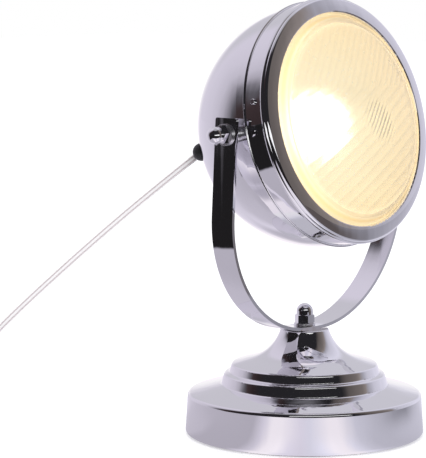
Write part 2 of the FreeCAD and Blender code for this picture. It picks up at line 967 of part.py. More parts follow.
def lens_clips():
    """Spring strips that press the lens pack forwards from the ring's band."""
    thick = size.clip_thickness
    outer = beside(size.bowl_radius + size.ring_gap, size.clip_width / 2) - size.running_gap
    rear = size.bowl_mouth + size.clip_gap
    clips = []
    for turn in range(round(SIZES["clip_count"])):
        body = new_body("lens_clip")
        corners = [
            (pack_radius - size.clip_grip, reflector_foot - thick),
            (pack_radius, reflector_foot - thick),
            (outer - thick, rear),
            (outer, rear),
            (outer, rear + thick),
            (pack_radius + size.clip_gap, reflector_foot),
            (pack_radius - size.clip_grip, reflector_foot),
        ]
        pad(body, new_sketch(body, "XZ_Plane", corners), size.clip_width, symmetric=True)
        angle = size.clip_angle + 360 / size.clip_count * turn
        place(body, on_head(turned_about("0; 0; 1", angle)))
        clips.append(body)
    return group("lens_clips", clips)


# --- Head: lamp holder and bulb --------------------------------------------------------------------------------------

holder_back = plate_height - size.reflector_wall / 2
holder_top = holder_back + size.holder_front
holder_foot = holder_top - size.holder_length


def lampholder():
    outer = size.holder_radius
    bore = size.holder_bore
    flange = size.holder_flange_radius
    corners = [
        (0, holder_foot),
        (outer - size.holder_chamfer, holder_foot),
        (outer, holder_foot + size.holder_chamfer),
        (outer, holder_back - size.holder_flange),
        (flange, holder_back - size.holder_flange),
        (flange, holder_back),
        (outer, holder_back),
        (outer, holder_top),
        (bore, holder_top),
        (bore, holder_foot + size.holder_floor),
        (0, holder_foot + size.holder_floor),
    ]
    return turned_body("lampholder", corners, HEAD)


def holder_ring():
    foot = holder_back + size.reflector_wall
    bore = size.holder_radius + size.running_gap
    outer = size.holder_flange_radius
    top = foot + size.holder_ring_height
    chamfer = size.ring_chamfer
    corners = [(bore, foot), (outer, foot), (outer, top - chamfer), (outer - chamfer, top), (bore, top)]
    return turned_body("holder_ring", corners, HEAD)


cap_tip = holder_foot + size.holder_floor + 0.2
cap_top = cap_tip + size.cap_length
bulb_centre = cap_top + size.bulb_rise


def bulb_cap():
    radius = size.cap_radius
    neck = size.bulb_neck_radius
    corners = [
        (0, cap_tip),
        (2.4, cap_tip),
        (3.4, cap_tip + 1.6),
        (5.4, cap_tip + 3.2),
        (radius, cap_tip + 4.6),
        (radius, cap_top - 0.6),
        (neck, cap_top),
        (0, cap_top),
    ]
    return turned_body("bulb_cap", corners, HEAD)


def bulb_glass():
    outer = size.bulb_radius
    inner = outer - size.bulb_glass_wall
    angle = size.bulb_neck_angle
    neck = size.bulb_neck_radius
    corners = [
        (0, bulb_centre + outer),
        (outer * sine(angle), bulb_centre - outer * cosine(angle), {"arc": -outer}),
        (neck, cap_top),
        (neck - size.bulb_glass_wall, cap_top),
        (inner * sine(angle), bulb_centre - inner * cosine(angle)),
        (0, bulb_centre + inner, {"arc": inner}),
    ]
    return turned_body("bulb_glass", corners, HEAD)


def bulb_filament():
    """The glass stem with its filament ring."""
    stem = 2.6
    tip = bulb_centre - 4
    corners = [
        (0, cap_top),
        (5.0, cap_top),
        (stem, cap_top + 6),
        (1.2, tip),
        (7.0, tip + 1.5),
        (7.4, tip + 2.1),
        (7.0, tip + 2.7),
        (0.6, tip + 2.4),
        (0, tip + 2.4),
    ]
    return turned_body("bulb_filament", corners, HEAD)


# --- Head: pivots ----------------------------------------------------------------------------------------------------


def pivots():
    """On each side: a bolt from inside the bowl, a spacer to the strap, a washer and a dome nut outside it."""
    inner = size.bowl_radius - size.bowl_wall
    washer_reach = size.centre_ahead + size.washer_radius
    inner_washer_outside = beside(inner, washer_reach) - size.running_gap
    head_outside = inner_washer_outside - size.washer_thickness
    nut_foot = strap_inside + size.strap_thickness + size.washer_thickness
    nut_foot = nut_foot + size.running_gap
    washer_foot_out = nut_foot - size.washer_thickness
    bolt_end = nut_foot + size.dome_nut_depth - size.running_gap
    sphere = doc.addObject("Part::Sphere", "bowl_sphere")
    sphere.setExpression("Radius", formula(size.bowl_radius + size.running_gap))
    place(sphere, HEAD)
    bolts = []
    inner_washers = []
    spacers = []
    outer_washers = []
    nuts = []
    for side in (-1, 1):
        head = hex_body("bolt_head", size.bolt_head_height, on_pivot(side, head_outside - size.bolt_head_height))
        shank = bolt_end - head_outside + size.bolt_head_height
        spin(head, [(0, 1), (size.thread_radius, 1), (size.thread_radius, shank), (0, shank)])
        bolts.append(head)
        hole = size.clearance_radius
        inner_washers.append(washer("inner_washer", hole, on_pivot(side, inner_washer_outside - size.washer_thickness)))
        outer_washers.append(washer("outer_washer", hole, on_pivot(side, washer_foot_out)))
        nuts.append(dome_nut("pivot_nut", on_pivot(side, nut_foot)))
        length = size.strap_clearance * 2
        outer = size.spacer_radius
        foot = strap_inside - length
        blank = turned_body("spacer_blank", [(hole, 0), (outer, 0), (outer, length), (hole, length)], on_pivot(side, foot))
        spacers.append(cut("spacer", blank, sphere))
    name_node(group("pivot_bolts", bolts), "pivot_bolts")
    name_node(group("pivot_inner_washers", inner_washers), "pivot_inner_washers")
    name_node(group("pivot_spacers", spacers), "pivot_spacers")
    name_node(group("pivot_washers", outer_washers), "pivot_washers")
    name_node(group("pivot_dome_nuts", nuts), "pivot_dome_nuts")


# --- Head: flex entry ---------------------------------------------------------------------------------------------------


def cord_grommet():
    """A rubber grommet: a flange inside the bowl, a neck through its wall and a dome outside."""
    inner = size.bowl_radius - size.bowl_wall
    flange = size.grommet_flange_radius
    flange_top = beside(inner, flange) - size.running_gap
    neck = size.grommet_hole_radius - size.running_gap
    dome = size.grommet_radius
    centre = size.bowl_radius - size.grommet_sink
    dome_foot = size.bowl_radius + size.running_gap
    corners = [
        (0, flange_top - size.grommet_flange),
        (flange - 1, flange_top - size.grommet_flange),
        (flange, flange_top - size.grommet_flange + 1),
        (flange, flange_top),
        (neck, flange_top),
        (neck, dome_foot),
        (beside(dome, dome_foot - centre), dome_foot),
        (0, centre + dome, {"arc": dome}),
    ]
    return turned_body("cord_grommet", corners, FLEX_ENTRY)


def clamp_top():
    inner = size.bowl_radius - size.bowl_wall
    return beside(inner, size.grommet_flange_radius) - size.running_gap - size.grommet_flange


def cord_clamp():
    foot = clamp_top() - size.flex_clamp_length
    return name_node(flex_entry_rod("cord_clamp", size.flex_clamp_radius, foot, size.flex_clamp_length), "cord_clamp")


# --- Flex ------------------------------------------------------------------------------------------------------------------


def entry_points():
    middle = entry_point(SIZES["bowl_radius"] - SIZES["grommet_sink"])
    return [tuple(middle + Vector(*offset)) for offset in ENTRY_OFFSETS]


def rounded_route(points):
    """Straight runs joined by tangent arcs, each as large as its two runs allow."""
    places = [Vector(*point) for point in points]
    shares = [0.9] + [0.45] * (len(points) - 3) + [0.9]
    edges = []
    radii = []
    last = places[0]
    for index, (before, corner, after) in enumerate(zip(places, places[1:], places[2:])):
        inward = corner - before
        outward = after - corner
        half_turn = inward.getAngle(outward) / 2
        reach = min(shares[index] * inward.Length, shares[index + 1] * outward.Length)
        radii.append(reach / math.tan(half_turn))
        start = corner - inward.normalize() * reach
        end = corner + outward.normalize() * reach
        back = (before - corner).normalize() + (after - corner).normalize()
        sag = radii[-1] / math.cos(half_turn) - radii[-1]
        middle = corner + back.normalize() * sag
        edges.append(Part.LineSegment(last, start).toShape())
        edges.append(Part.Arc(start, middle, end).toShape())
        last = end
    edges.append(Part.LineSegment(last, places[-1]).toShape())
    return Part.Wire(edges), radii


def flex_tube(name, points, radius):
    """A round tube along a rounded route. It reads its section from the sheet."""
    route, radii = rounded_route(points)
    start = Vector(*points[0])
    heading = Vector(*points[1]) - start
    section = Part.Wire(Part.makeCircle(number(radius), start, heading))
    tube = doc.addObject("Part::Feature", name)
    tube.Shape = route.makePipeShell([section], True, False)
    solid = math.pi * number(radius) ** 2 * route.Length
    print(
        f"{name}: {route.Length:.1f} mm long, tightest bend {min(radii, default=0):.1f} mm,"
        f" volume {tube.Shape.Volume / solid:.4f} of section times length"
    )
    return name_node(tube, name)


def cord_coil():
    inner = size.coil_radius - size.coil_half_width
    outer = size.coil_radius + size.coil_half_width
    top = size.coil_height
    rounding = {"round": size.coil_rounding}
    corners = [(inner, 0, rounding), (outer, 0, rounding), (outer, top, rounding), (inner, top, rounding)]
    x, y = COIL_MIDDLE
    middle = f"placement(vector({x}; {y}; 0); rotation(vector(0; 0; 1); 0))"
    return turned_body("cord_coil", corners, middle)


SWITCH = f"placement(vector({SWITCH_MIDDLE[0]}; {SWITCH_MIDDLE[1]}; 0); rotation(vector(0; 0; 1); 90))"
PLUG = f"placement(vector({PLUG_START[0]}; {PLUG_START[1]}; 0); rotation(vector(0; 0; 1); {PLUG_HEADING}))"


def rounded_block(name, length, width, corner, foot, height):
    """A block with rounded corners in plan, raised from one height to another."""
    body = new_body(name)
    half = length / 2
    side = width / 2
    rounding = {"round": corner}
    plan = new_sketch(
        body,
        "XY_Plane",
        [(-half, -side, rounding), (half, -side, rounding), (half, side, rounding), (-half, side, rounding)],
    )
    plan.setExpression(".AttachmentOffset.Base.z", formula(foot))
    pad(body, plan, height)
    return body


def soften(body, height, radius):
    """Rounds the edges that lie at this height of a body, as a moulding has them."""
    doc.recompute()
    level = number(height)
    solid = body.Tip
    edges = [
        f"Edge{index}"
        for index, edge in enumerate(solid.Shape.Edges, start=1)
        if abs(edge.BoundBox.ZMin - level) < 1e-6 and abs(edge.BoundBox.ZMax - level) < 1e-6
    ]
    fillet = body.newObject("PartDesign::Fillet", "softened")
    fillet.Base = (solid, edges)
    fillet.setExpression("Radius", formula(radius))
    body.Tip = fillet
    return fillet


def pocket_up(body, sketch, depth):
    """A blind pocket that rises from the sketch."""
    pocket = body.newObject("PartDesign::Pocket", "hollow")
    pocket.Profile = sketch
    pocket.Reversed = True
    pocket.setExpression("Length", formula(depth))
    return pocket


screw_across = size.switch_length / 2 - size.case_screw_inset
case_screw_top = size.switch_split + size.case_screw_grip


def switch_case_bottom():
    """The case's lower half: a shallow tray with a screw hole at each end."""
    split = size.switch_split
    body = rounded_block("case_bottom", size.switch_length, size.switch_width, size.switch_corner, 0 * split, split)
    half = size.switch_length / 2 - size.case_end_wall
    side = size.switch_width / 2 - size.switch_wall
    hollow = new_sketch(body, "XY_Plane", [(-half, -side), (half, -side), (half, side), (-half, side)])
    hollow.setExpression(".AttachmentOffset.Base.z", formula(size.switch_wall))
    pocket_up(body, hollow, split)
    for side_of_middle in (-1, 1):
        across = side_of_middle * screw_across
        cut_through(body, round_hole_sketch(body, "XY_Plane", size.case_screw_radius + size.running_gap, across, 0))
        sink = round_hole_sketch(body, "XY_Plane", size.case_screw_head_radius + size.running_gap, across, 0)
        pocket_up(body, sink, size.case_screw_sink)
    place(body, SWITCH)
    return body


rocker_axis = size.switch_height - size.rocker_depth / 2
trunnion_half = size.rocker_width / 2 + size.trunnion_reach


def switch_case_top():
    """The case's upper half: a rounded lid with the rocker's window, the holes for its trunnions and the screws."""
    split = size.switch_split
    height = size.switch_height - split
    body = rounded_block("case_top", size.switch_length, size.switch_width, size.switch_corner, split, height)
    soften(body, size.switch_height, size.switch_edge)
    half = size.rocker_length / 2 + size.rocker_gap
    side = size.rocker_width / 2 + size.rocker_gap
    window = new_sketch(body, "XY_Plane", [(-half, -side), (half, -side), (half, side), (-half, side)])
    cut_through(body, window)
    bore = round_hole_sketch(body, "XZ_Plane", size.trunnion_radius + size.running_gap, 0, rocker_axis)
    bearing = body.newObject("PartDesign::Pocket", "bearing")
    bearing.Profile = bore
    bearing.SideType = "Symmetric"
    bearing.setExpression("Length", formula((trunnion_half + size.rocker_gap) * 2))
    for side_of_middle in (-1, 1):
        across = side_of_middle * screw_across
        hole = round_hole_sketch(body, "XY_Plane", size.case_screw_radius + size.running_gap, across, 0)
        hole.setExpression(".AttachmentOffset.Base.z", formula(split))
        pocket_up(body, hole, size.case_screw_grip + size.running_gap)
    place(body, SWITCH)
    return body


def switch_rocker():
    """A rocker with a hollowed top and two trunnions. At rest it lies pressed on one side."""
    half = size.rocker_length / 2
    foot = size.switch_height - size.rocker_depth
    top = size.switch_height + size.rocker_rise
    body = new_body("rocker")
    corners = [
        (-half * 0.8, foot),
        (half * 0.8, foot),
        (half, top),
        (-half, top, {"arc": -size.rocker_bow}),
    ]
    pad(body, new_sketch(body, "XZ_Plane", corners), size.rocker_width, symmetric=True)
    pins = round_hole_sketch(body, "XZ_Plane", size.trunnion_radius, 0, rocker_axis)
    pad(body, pins, trunnion_half * 2, symmetric=True)
    to_axis = f"placement(vector(0; 0; {formula(rocker_axis)}); rotation(vector(0; 1; 0); 0 - Sizes.rocker_throw))"
    from_axis = f"placement(vector(0; 0; {formula(-rocker_axis)}); rotation(vector(0; 1; 0); 0))"
    place(body, f"{SWITCH} * {to_axis} * {from_axis}")
    return body


def switch_screws():
    """Two screws, sunk in the case's underside."""
    screws = []
    for side_of_middle in (-1, 1):
        head = size.case_screw_head_radius
        shank = size.case_screw_radius
        foot = size.case_screw_sink - size.case_screw_head
        seat = size.case_screw_sink
        corners = [
            (0, foot),
            (head - 0.3, foot),
            (head, foot + 0.3),
            (head, seat),
            (shank, seat),
            (shank, case_screw_top),
            (0, case_screw_top),
        ]
        body = turned_body("case_screw", corners)
        shift = f"placement(vector({formula(side_of_middle * screw_across)}; 0; 0); rotation(vector(0; 0; 1); 0))"
        place(body, f"{SWITCH} * {shift}")
        screws.append(body)
    return group("switch_screws", screws)


def plug_body():
    """A flat two-pin plug: a moulded body that narrows to the flex."""
    tail = size.plug_tail_width / 2
    side = size.plug_width / 2
    start = size.relief_length
    end = start + size.plug_length
    corner = {"round": size.plug_corner}
    body = new_body("plug_body")
    plan = new_sketch(
        body,
        "XY_Plane",
        [
            (start, -tail, {"round": 2.0}),
            (start + size.plug_length * 0.45, -side, corner),
            (end, -side, {"round": 2.0}),
            (end, side, {"round": 2.0}),
            (start + size.plug_length * 0.45, side, corner),
            (start, tail, {"round": 2.0}),
        ],
    )
    pad(body, plan, size.plug_thickness)
    place(body, PLUG)
    return body


def along_plug(across, along, height):
    """A place on the plug with Z pointing towards its pins."""
    return (
        f"{PLUG} * placement(vector({formula(along)}; {formula(across)}; {formula(height)}); "
        "rotation(vector(0; 1; 0); 90))"
    )


def plug_pins():
    pins = []
    start = size.relief_length + size.plug_length
    radius = size.pin_radius
    length = size.pin_length
    for side in (-1, 1):
        corners = [(0, 0), (radius, 0), (radius, length - 1), (radius - 1, length), (0, length)]
        across = side * size.pin_spacing / 2
        pins.append(turned_body("plug_pin", corners, along_plug(across, start, size.plug_thickness / 2)))
    return group("plug_pins", pins)


def plug_relief():
    """The tapered sleeve that keeps the flex from kinking at the plug."""
    thin = size.flex_radius + 0.6
    thick = size.relief_radius
    length = size.relief_length
    corners = [(0, 0), (thin, 0), (thick, length), (0, length)]
    return turned_body("plug_relief", corners, along_plug(0, 0, size.plug_thickness / 2))


# --- The lamp, piece by piece --------------------------------------------------------------------------------------------------

name_node(base_shell(), "base_shell")
name_node(base_weight(), "base_weight")
name_node(base_board(), "base_board")
name_node(base_felt(), "base_felt")
base_fasteners()
name_node(yoke_strap(), "yoke_strap")
name_node(head_bowl(), "head_bowl")
name_node(trim_ring(), "trim_ring")
name_node(trim_screws(), "trim_screws")
name_node(lens(), "lens")
name_node(lens_gasket(), "lens_gasket")
name_node(reflector(), "reflector")
name_node(lens_clips(), "lens_clips")
name_node(lampholder(), "lampholder")
name_node(holder_ring(), "holder_ring")
name_node(bulb_cap(), "bulb_cap")
name_node(bulb_glass(), "bulb_glass")
name_node(bulb_filament(), "bulb_filament")
pivots()
name_node(cord_grommet(), "cord_grommet")
cord_clamp()
flex_tube("cord_drop", [*entry_points(), *DROP_POINTS], size.flex_radius)
flex_tube("cord_on_table", SWITCH_SIDE_POINTS, size.flex_radius)
flex_tube("cord_to_coil", COIL_SIDE_POINTS, size.flex_radius)
flex_tube("cord_to_plug", PLUG_SIDE_POINTS, size.flex_radius)
name_node(cord_coil(), "cord_coil")
name_node(switch_case_bottom(), "switch_case_bottom")
name_node(switch_case_top(), "switch_case_top")
name_node(switch_rocker(), "switch_rocker")
name_node(switch_screws(), "switch_screws")
name_node(plug_body(), "plug_body")
name_node(plug_pins(), "plug_pins")
name_node(plug_relief(), "plug_relief")

doc.recompute()
faults = [
    f"{item.Label} ({item.Name}): {item.State}"
    for item in doc.Objects
    if "Invalid" in item.State or "Error" in item.State
]
for node in nodes:
    if node.Shape.isNull() or not node.Shape.isValid() or not node.Shape.Solids:
        faults.append(f"{node.Label}: its shape is empty or not valid")
if faults:
    raise RuntimeError("; ".join(faults))

os.makedirs("parts", exist_ok=True)
for node in nodes:
    node.Shape.exportStep(f"parts/{node.Label}.step")
print(f"{len(nodes)} nodes written")
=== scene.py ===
# %% [markdown]
# # A searchlight lamp for the table
# The imported model is the fixed frame of this lesson: its pieces keep their places and sizes, and this script gives
# them their finishes, the flex and the fluted glass. We load it first.

# %% Load the frame
import json
import math

import bmesh
import bpy
import numpy as np
from mathutils import Matrix, Vector


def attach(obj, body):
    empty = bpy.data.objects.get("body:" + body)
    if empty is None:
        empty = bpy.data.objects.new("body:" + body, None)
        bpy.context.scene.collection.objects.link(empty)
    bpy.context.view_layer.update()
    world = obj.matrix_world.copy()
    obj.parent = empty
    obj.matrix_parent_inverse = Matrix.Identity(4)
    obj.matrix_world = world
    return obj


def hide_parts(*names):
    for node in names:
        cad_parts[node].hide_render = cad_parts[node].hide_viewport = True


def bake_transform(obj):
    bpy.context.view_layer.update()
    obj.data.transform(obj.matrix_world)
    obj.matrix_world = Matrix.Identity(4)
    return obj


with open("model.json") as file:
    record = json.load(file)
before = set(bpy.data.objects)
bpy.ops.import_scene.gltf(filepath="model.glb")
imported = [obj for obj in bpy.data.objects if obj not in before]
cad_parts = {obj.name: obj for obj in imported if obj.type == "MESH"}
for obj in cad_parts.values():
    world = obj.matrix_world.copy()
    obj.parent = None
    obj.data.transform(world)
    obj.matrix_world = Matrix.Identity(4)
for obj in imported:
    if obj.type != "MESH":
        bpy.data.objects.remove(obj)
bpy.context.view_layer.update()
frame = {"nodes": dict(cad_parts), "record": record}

nodes = frame["nodes"]
mm = 0.001
print("pieces in the frame:", len(nodes))

# %% [markdown]
# ## The camera
# A short lens close by would stretch the round head, so we take a long lens from a good distance. The camera
# stands to the left of the lamp's own lens, a little above the head, and looks slightly down.

# %% Set up the camera
def add_object(name, data):
    """A new object in the scene, at the origin."""
    piece = bpy.data.objects.new(name, data)
    bpy.context.scene.collection.objects.link(piece)
    return piece


eye = Vector((-1.29670, -1.08756, 0.36200))
yaw, pitch = math.radians(-47.67), math.radians(-6.97)
gaze = Vector((-math.sin(yaw) * math.cos(pitch), math.cos(yaw) * math.cos(pitch), math.sin(pitch)))
camera = add_object("camera", bpy.data.cameras.new("camera"))
camera.data.sensor_width = 36.0
camera.data.lens = 178.3
camera.location = eye
camera.rotation_euler = gaze.to_track_quat("-Z", "Y").to_euler()
bpy.context.scene.camera = camera
print("camera looks along", [round(v, 3) for v in gaze])

# %% [markdown]
# ## The flex: its route
# A lamp's flex is one soft line. We could let it fall in a simulation, but it has to end where the frame's switch
# and plug lie. So we give it few points and let a smooth spline run near them: out of the grommet, down behind the
# lamp, round on the table, through the switch, and then into a neat coil that ends in the plug. The points are in
# millimetres, and the frame's own plain flex follows the same ones.

# %% The flex from the grommet to the coil
drop = [
    (-58.46, 58.87, 209.54),
    (-77.33, 87.15, 182.5),
    (-106.19, 130.40, 137.7),
    (-136.16, 175.32, 88.0),
    (-150.6, 196.9, 60.5),
    (-161.7, 213.6, 38.0),
    (-171.1, 227.7, 19.0),
    (-182.2, 241.9, 6.5),
    (-197.8, 252.8, 2.0),
]
to_switch = [
    (-216.7, 254.5, 1.5),
    (-233.8, 246.2, 1.5),
    (-243.6, 231.5, 2.2),
    (-246.9, 219.0, 5.6),
    (-247.1, 208.6, 9.0),
    (-247.1, 198.6, 9.0),
]
to_coil = [
    (-247.1, 142.6, 9.0),
    (-247.1, 133.0, 9.0),
    (-247.1, 124.0, 6.0),
    (-247.1, 116.0, 3.0),
]
to_plug = [
    (-311.9, 117.5, 7.5),
    (-312.1, 126.0, 7.2),
    (-311.64, 134.15, 6.85),
    (-309.9, 144.0, 6.85),
]
print("points before the coil:", len(drop + to_switch + to_coil), "and after it:", len(to_plug))

# %% [markdown]
# ## The flex: its coil
# Whoever winds a flex lays each turn beside or on the last one. So each turn has a place, a radius and a height,
# and near its end the flex steps over to the next place. A spline cuts its corners, so the points lie a little
# wider.

# %% The coil's turns
coil_middle = (-279.5, 106.0)
turn_places = [
    (32.4, 1.5),
    (27.0, 1.5),
    (21.6, 1.5),
    (21.6, 4.5),
    (27.0, 4.5),
    (32.4, 4.5),
    (27.0, 7.5),
    (32.4, 7.5),
]
turns_wound = 7.5
steps_per_turn = 14
stepping_over = 0.3
wider = 1 / math.cos(math.pi / steps_per_turn)


def coil_point(turns):
    """A point of the coil after so many turns, with a soft step to the next turn's place."""
    index = min(int(turns), len(turn_places) - 1)
    after = min(index + 1, len(turn_places) - 1)
    share = max(0.0, (turns - index - (1 - stepping_over)) / stepping_over)
    radius, height = (
        here * (1 - share) + there * share for here, there in zip(turn_places[index], turn_places[after])
    )
    angle = -2 * math.pi * turns
    x = coil_middle[0] + radius * wider * math.cos(angle)
    y = coil_middle[1] + radius * wider * math.sin(angle)
    return (x, y, height)


coil = [coil_point(step / steps_per_turn) for step in range(round(turns_wound * steps_per_turn) + 1)]
route = drop + to_switch + to_coil + coil + to_plug
print("route points:", len(route), "of which in the coil:", len(coil))

# %% The smooth line through them
def smooth_line(places):
    """The points of a smooth spline near the route, in metres."""
    curve = bpy.data.curves.new("flex_line", "CURVE")
    curve.dimensions = "3D"
    spline = curve.splines.new("NURBS")
    spline.points.add(len(places) - 1)
    for point, place in zip(spline.points, places):
        point.co = (place[0] * mm, place[1] * mm, place[2] * mm, 1)
    spline.order_u = 3
    spline.use_endpoint_u = True
    spline.resolution_u = 6
    line = add_object("flex_line", curve)
    bpy.context.view_layer.update()
    mesh = bpy.data.meshes.new_from_object(line.evaluated_get(bpy.context.evaluated_depsgraph_get()))
    bpy.data.objects.remove(line)
    return np.array([vertex.co[:] for vertex in mesh.vertices])


def distance_along(path):
    """How far along the path each of its points lies, in metres."""
    runs = np.linalg.norm(np.diff(path, axis=0), axis=1)
    return np.concatenate([[0], np.cumsum(runs)])


flex_path = smooth_line(route)
distance = distance_along(flex_path)
print("length of the flex:", round(float(distance[-1]), 3), "m in", len(flex_path), "points")

# %% [markdown]
# ## The flex: its body
# The flex is a flat twin: two wires side by side in one clear skin, with a shallow waist between them. A curve
# with a bevel would twist as it likes, so we carry the twin section along the line ourselves. It hangs on edge and
# turns flat as it nears the table. On the way we note in a UV map how far along and how far round each point lies.

# %% Carry a section along a path
def sweep(name, path, section, normals):
    """A closed tube that carries the section along the path. Its UV runs along the path in metres."""
    tangents = np.gradient(path, axis=0)
    tangents /= np.linalg.norm(tangents, axis=1, keepdims=True)
    normals = normals - (normals * tangents).sum(1, keepdims=True) * tangents
    normals /= np.linalg.norm(normals, axis=1, keepdims=True)
    across = np.cross(tangents, normals)
    count = len(section)
    shape = np.array(section) * mm
    points = (
        path[:, None, :]
        + across[:, None, :] * shape[None, :, 0, None]
        + normals[:, None, :] * shape[None, :, 1, None]
    ).reshape(-1, 3)
    faces = []
    for ring in range(len(path) - 1):
        for step in range(count):
            here, after = ring * count + step, ring * count + (step + 1) % count
            faces.append((here, after, after + count, here + count))
    last = (len(path) - 1) * count
    faces.append(tuple(reversed(range(count))))
    faces.append(tuple(range(last, last + count)))
    mesh = bpy.data.meshes.new(name)
    mesh.from_pydata(points.tolist(), [], faces)
    along = distance_along(path)
    layer = mesh.uv_layers.new(name="along")
    for face in mesh.polygons:
        on_side = face.index < len(faces) - 2
        for corner, vertex in zip(face.loop_indices, face.vertices):
            step = vertex % count
            if on_side and step == 0 and face.index % count == count - 1:
                step = count
            layer.data[corner].uv = (along[vertex // count], step / count)
        face.use_smooth = on_side
    return add_object(name, mesh)


# %% Sweep the twin section
def twin_section(steps=10, wire=1.42, apart=1.27, waist=0.95):
    """The outline of two round wires in one skin, as (across, up) in millimetres. The waist is an angle."""
    reach = math.pi - waist
    points = []
    for side in (1, -1):
        for step in range(steps):
            angle = -reach + 2 * reach * step / (steps - 1)
            points.append((side * (apart + wire * math.cos(angle)), side * wire * math.sin(angle)))
    return points


turns_flat_from, turns_flat_over = 0.18, 0.14
on_edge, lying = np.array([-0.832, -0.555, 0.0]), np.array([0.0, 0.0, 1.0])
flat = np.clip((distance - turns_flat_from) / turns_flat_over, 0, 1)
flat = (flat * flat * (3 - 2 * flat))[:, None]
flex = sweep("flex", flex_path, twin_section(), on_edge * (1 - flat) + lying * flat)
print("flex:", len(flex.data.polygons), "faces")

# %% Hide the cord solids that the flex stands for, and list the pieces on it
cord_nodes = ["cord_drop", "cord_on_table", "cord_to_coil", "cord_to_plug", "cord_coil"]
on_the_flex = [
    nodes[name]
    for name in (
        "switch_case_bottom",
        "switch_case_top",
        "switch_rocker",
        "switch_screws",
        "plug_body",
        "plug_pins",
        "plug_relief",
    )
]
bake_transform(flex)
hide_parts(*cord_nodes)
print("the flex stands for", len(cord_nodes), "solids and carries", len(on_the_flex), "pieces")

# %% [markdown]
# ## Shader maths
# A pattern is easier to read as a sum than as a tangle of boxes. A small class wraps a socket and turns + - * /
# and ** into Math nodes, so that a mask is one line of Python. Every node comes from one method, make.

# %% A class for sums on sockets
class Wire:
    """One output of a node tree. Sums on it add Math nodes."""

    def __init__(self, tree, socket):
        self.tree = tree
        self.socket = socket

    def output(self, name):
        """Another output of the same node."""
        return Wire(self.tree, self.socket.node.outputs[name])

    def math(self, operation, *others, clamp=False, swapped=False):
        values = (*others, self) if swapped else (self, *others)
        return make(self.tree, "Math", {"operation": operation, "use_clamp": clamp}, values)

    def __add__(self, other):
        return self.math("ADD", other)

    __radd__ = __add__

    def __sub__(self, other):
        return self.math("SUBTRACT", other)

    def __rsub__(self, other):
        return self.math("SUBTRACT", other, swapped=True)

    def __mul__(self, other):
        return self.math("MULTIPLY", other)

    __rmul__ = __mul__

    def __truediv__(self, other):
        return self.math("DIVIDE", other)

    def __pow__(self, other):
        return self.math("POWER", other)

    def sin(self):
        return self.math("SINE")

    def most(self, other):
        return self.math("MAXIMUM", other)

    def greater(self, other):
        return self.math("GREATER_THAN", other)

    def smaller(self, other):
        return self.math("LESS_THAN", other)

    def bearing(self, other):
        """The angle of the point (other, self) about the origin, in radians."""
        return self.math("ARCTAN2", other)

    def clamp(self):
        return self.math("ADD", 0.0, clamp=True)

    def step(self, low, high):
        """0 at low, 1 at high, and smooth between them. Low may be the larger one."""
        smooth = {"interpolation_type": "SMOOTHSTEP"}
        return make(self.tree, "MapRange", smooth, Value=self, From_Min=low, From_Max=high, To_Min=0.0, To_Max=1.0)


# %% One method for every node
def connect(tree, socket, value):
    """Links a wire or several wires to the socket, or sets it to a plain value."""
    if isinstance(value, list):
        for wire in value:
            connect(tree, socket, wire)
    elif isinstance(value, Wire):
        tree.links.new(value.socket, socket)
    elif value is not None:
        socket.default_value = value


def make(tree, kind, settings=None, places=(), **sockets):
    """Adds one node: first its settings, then the values or links of its sockets, by place or by name."""
    node = tree.nodes.new(kind if "Node" in kind else "ShaderNode" + kind)
    for name, value in (settings or {}).items():
        if name == "stops":
            ramp = node.color_ramp.elements
            for index, (place, colour) in enumerate(value):
                stop = ramp[index] if index < len(ramp) else ramp.new(place)
                stop.position = place
                stop.color = (*colour, 1)
        else:
            setattr(node, name, value)
    for socket, value in zip(node.inputs, places):
        connect(tree, socket, value)
    for name, value in sockets.items():
        name = name.replace("_", " ")
        connect(tree, next(s for s in node.inputs if s.enabled and s.name == name), value)
    return Wire(tree, node.outputs[0] if node.outputs else None)


# %% Start a material
def finish_of(name, **constants):
    """A new material with constants on its shader's own sockets, its tree, and a call that links what varies."""
    material = bpy.data.materials.new(name)
    material.use_nodes = True
    tree = material.node_tree
    shader = next(n for n in tree.nodes if n.type == "BSDF_PRINCIPLED")

    def feed(**values):
        for socket, value in values.items():
            connect(tree, shader.inputs[socket.replace("_", " ")], value)

    feed(**constants)
    return material, tree, feed


# %% Helpers for patterns and vectors
def place_on(tree, turn=(0, 0, 0), shift=(0, 0, 0), scale=(1, 1, 1)):
    """Object coordinates in metres, shifted, turned and scaled for a pattern."""
    where = make(tree, "TexCoord").output("Object")
    point = {"vector_type": "POINT"}
    return make(tree, "Mapping", point, Vector=where, Rotation=turn, Location=shift, Scale=scale)


def noise(tree, where, scale, detail=3.0, roughness=0.5):
    return make(tree, "TexNoise", Vector=where, Scale=scale, Detail=detail, Roughness=roughness)


def bump(tree, height, strength, distance):
    return make(tree, "Bump", Strength=strength, Distance=distance, Height=height)


def mix_colour(tree, share, first, second):
    """The first colour where the share is 0, the second where it is 1."""
    first, second = (colour if isinstance(colour, Wire) else (*colour, 1) for colour in (first, second))
    return make(tree, "Mix", {"data_type": "RGBA"}, Factor=share, A=first, B=second).output(2)


def split(tree, vector):
    """The x, y and z of a vector."""
    parts = make(tree, "SeparateXYZ", places=(vector,))
    return tuple(parts.output(name) for name in "XYZ")


# %% [markdown]
# ## Chrome
# Polished chrome is almost a mirror: what we see on it is the room. Painting light and dark on the metal would
# stick to it when it turns, so the finish itself only adds a faint cloud of wiping marks and a breath of
# unevenness. They break the mirror just enough to look like plated steel. The washers and spacers have the same
# plating in satin.

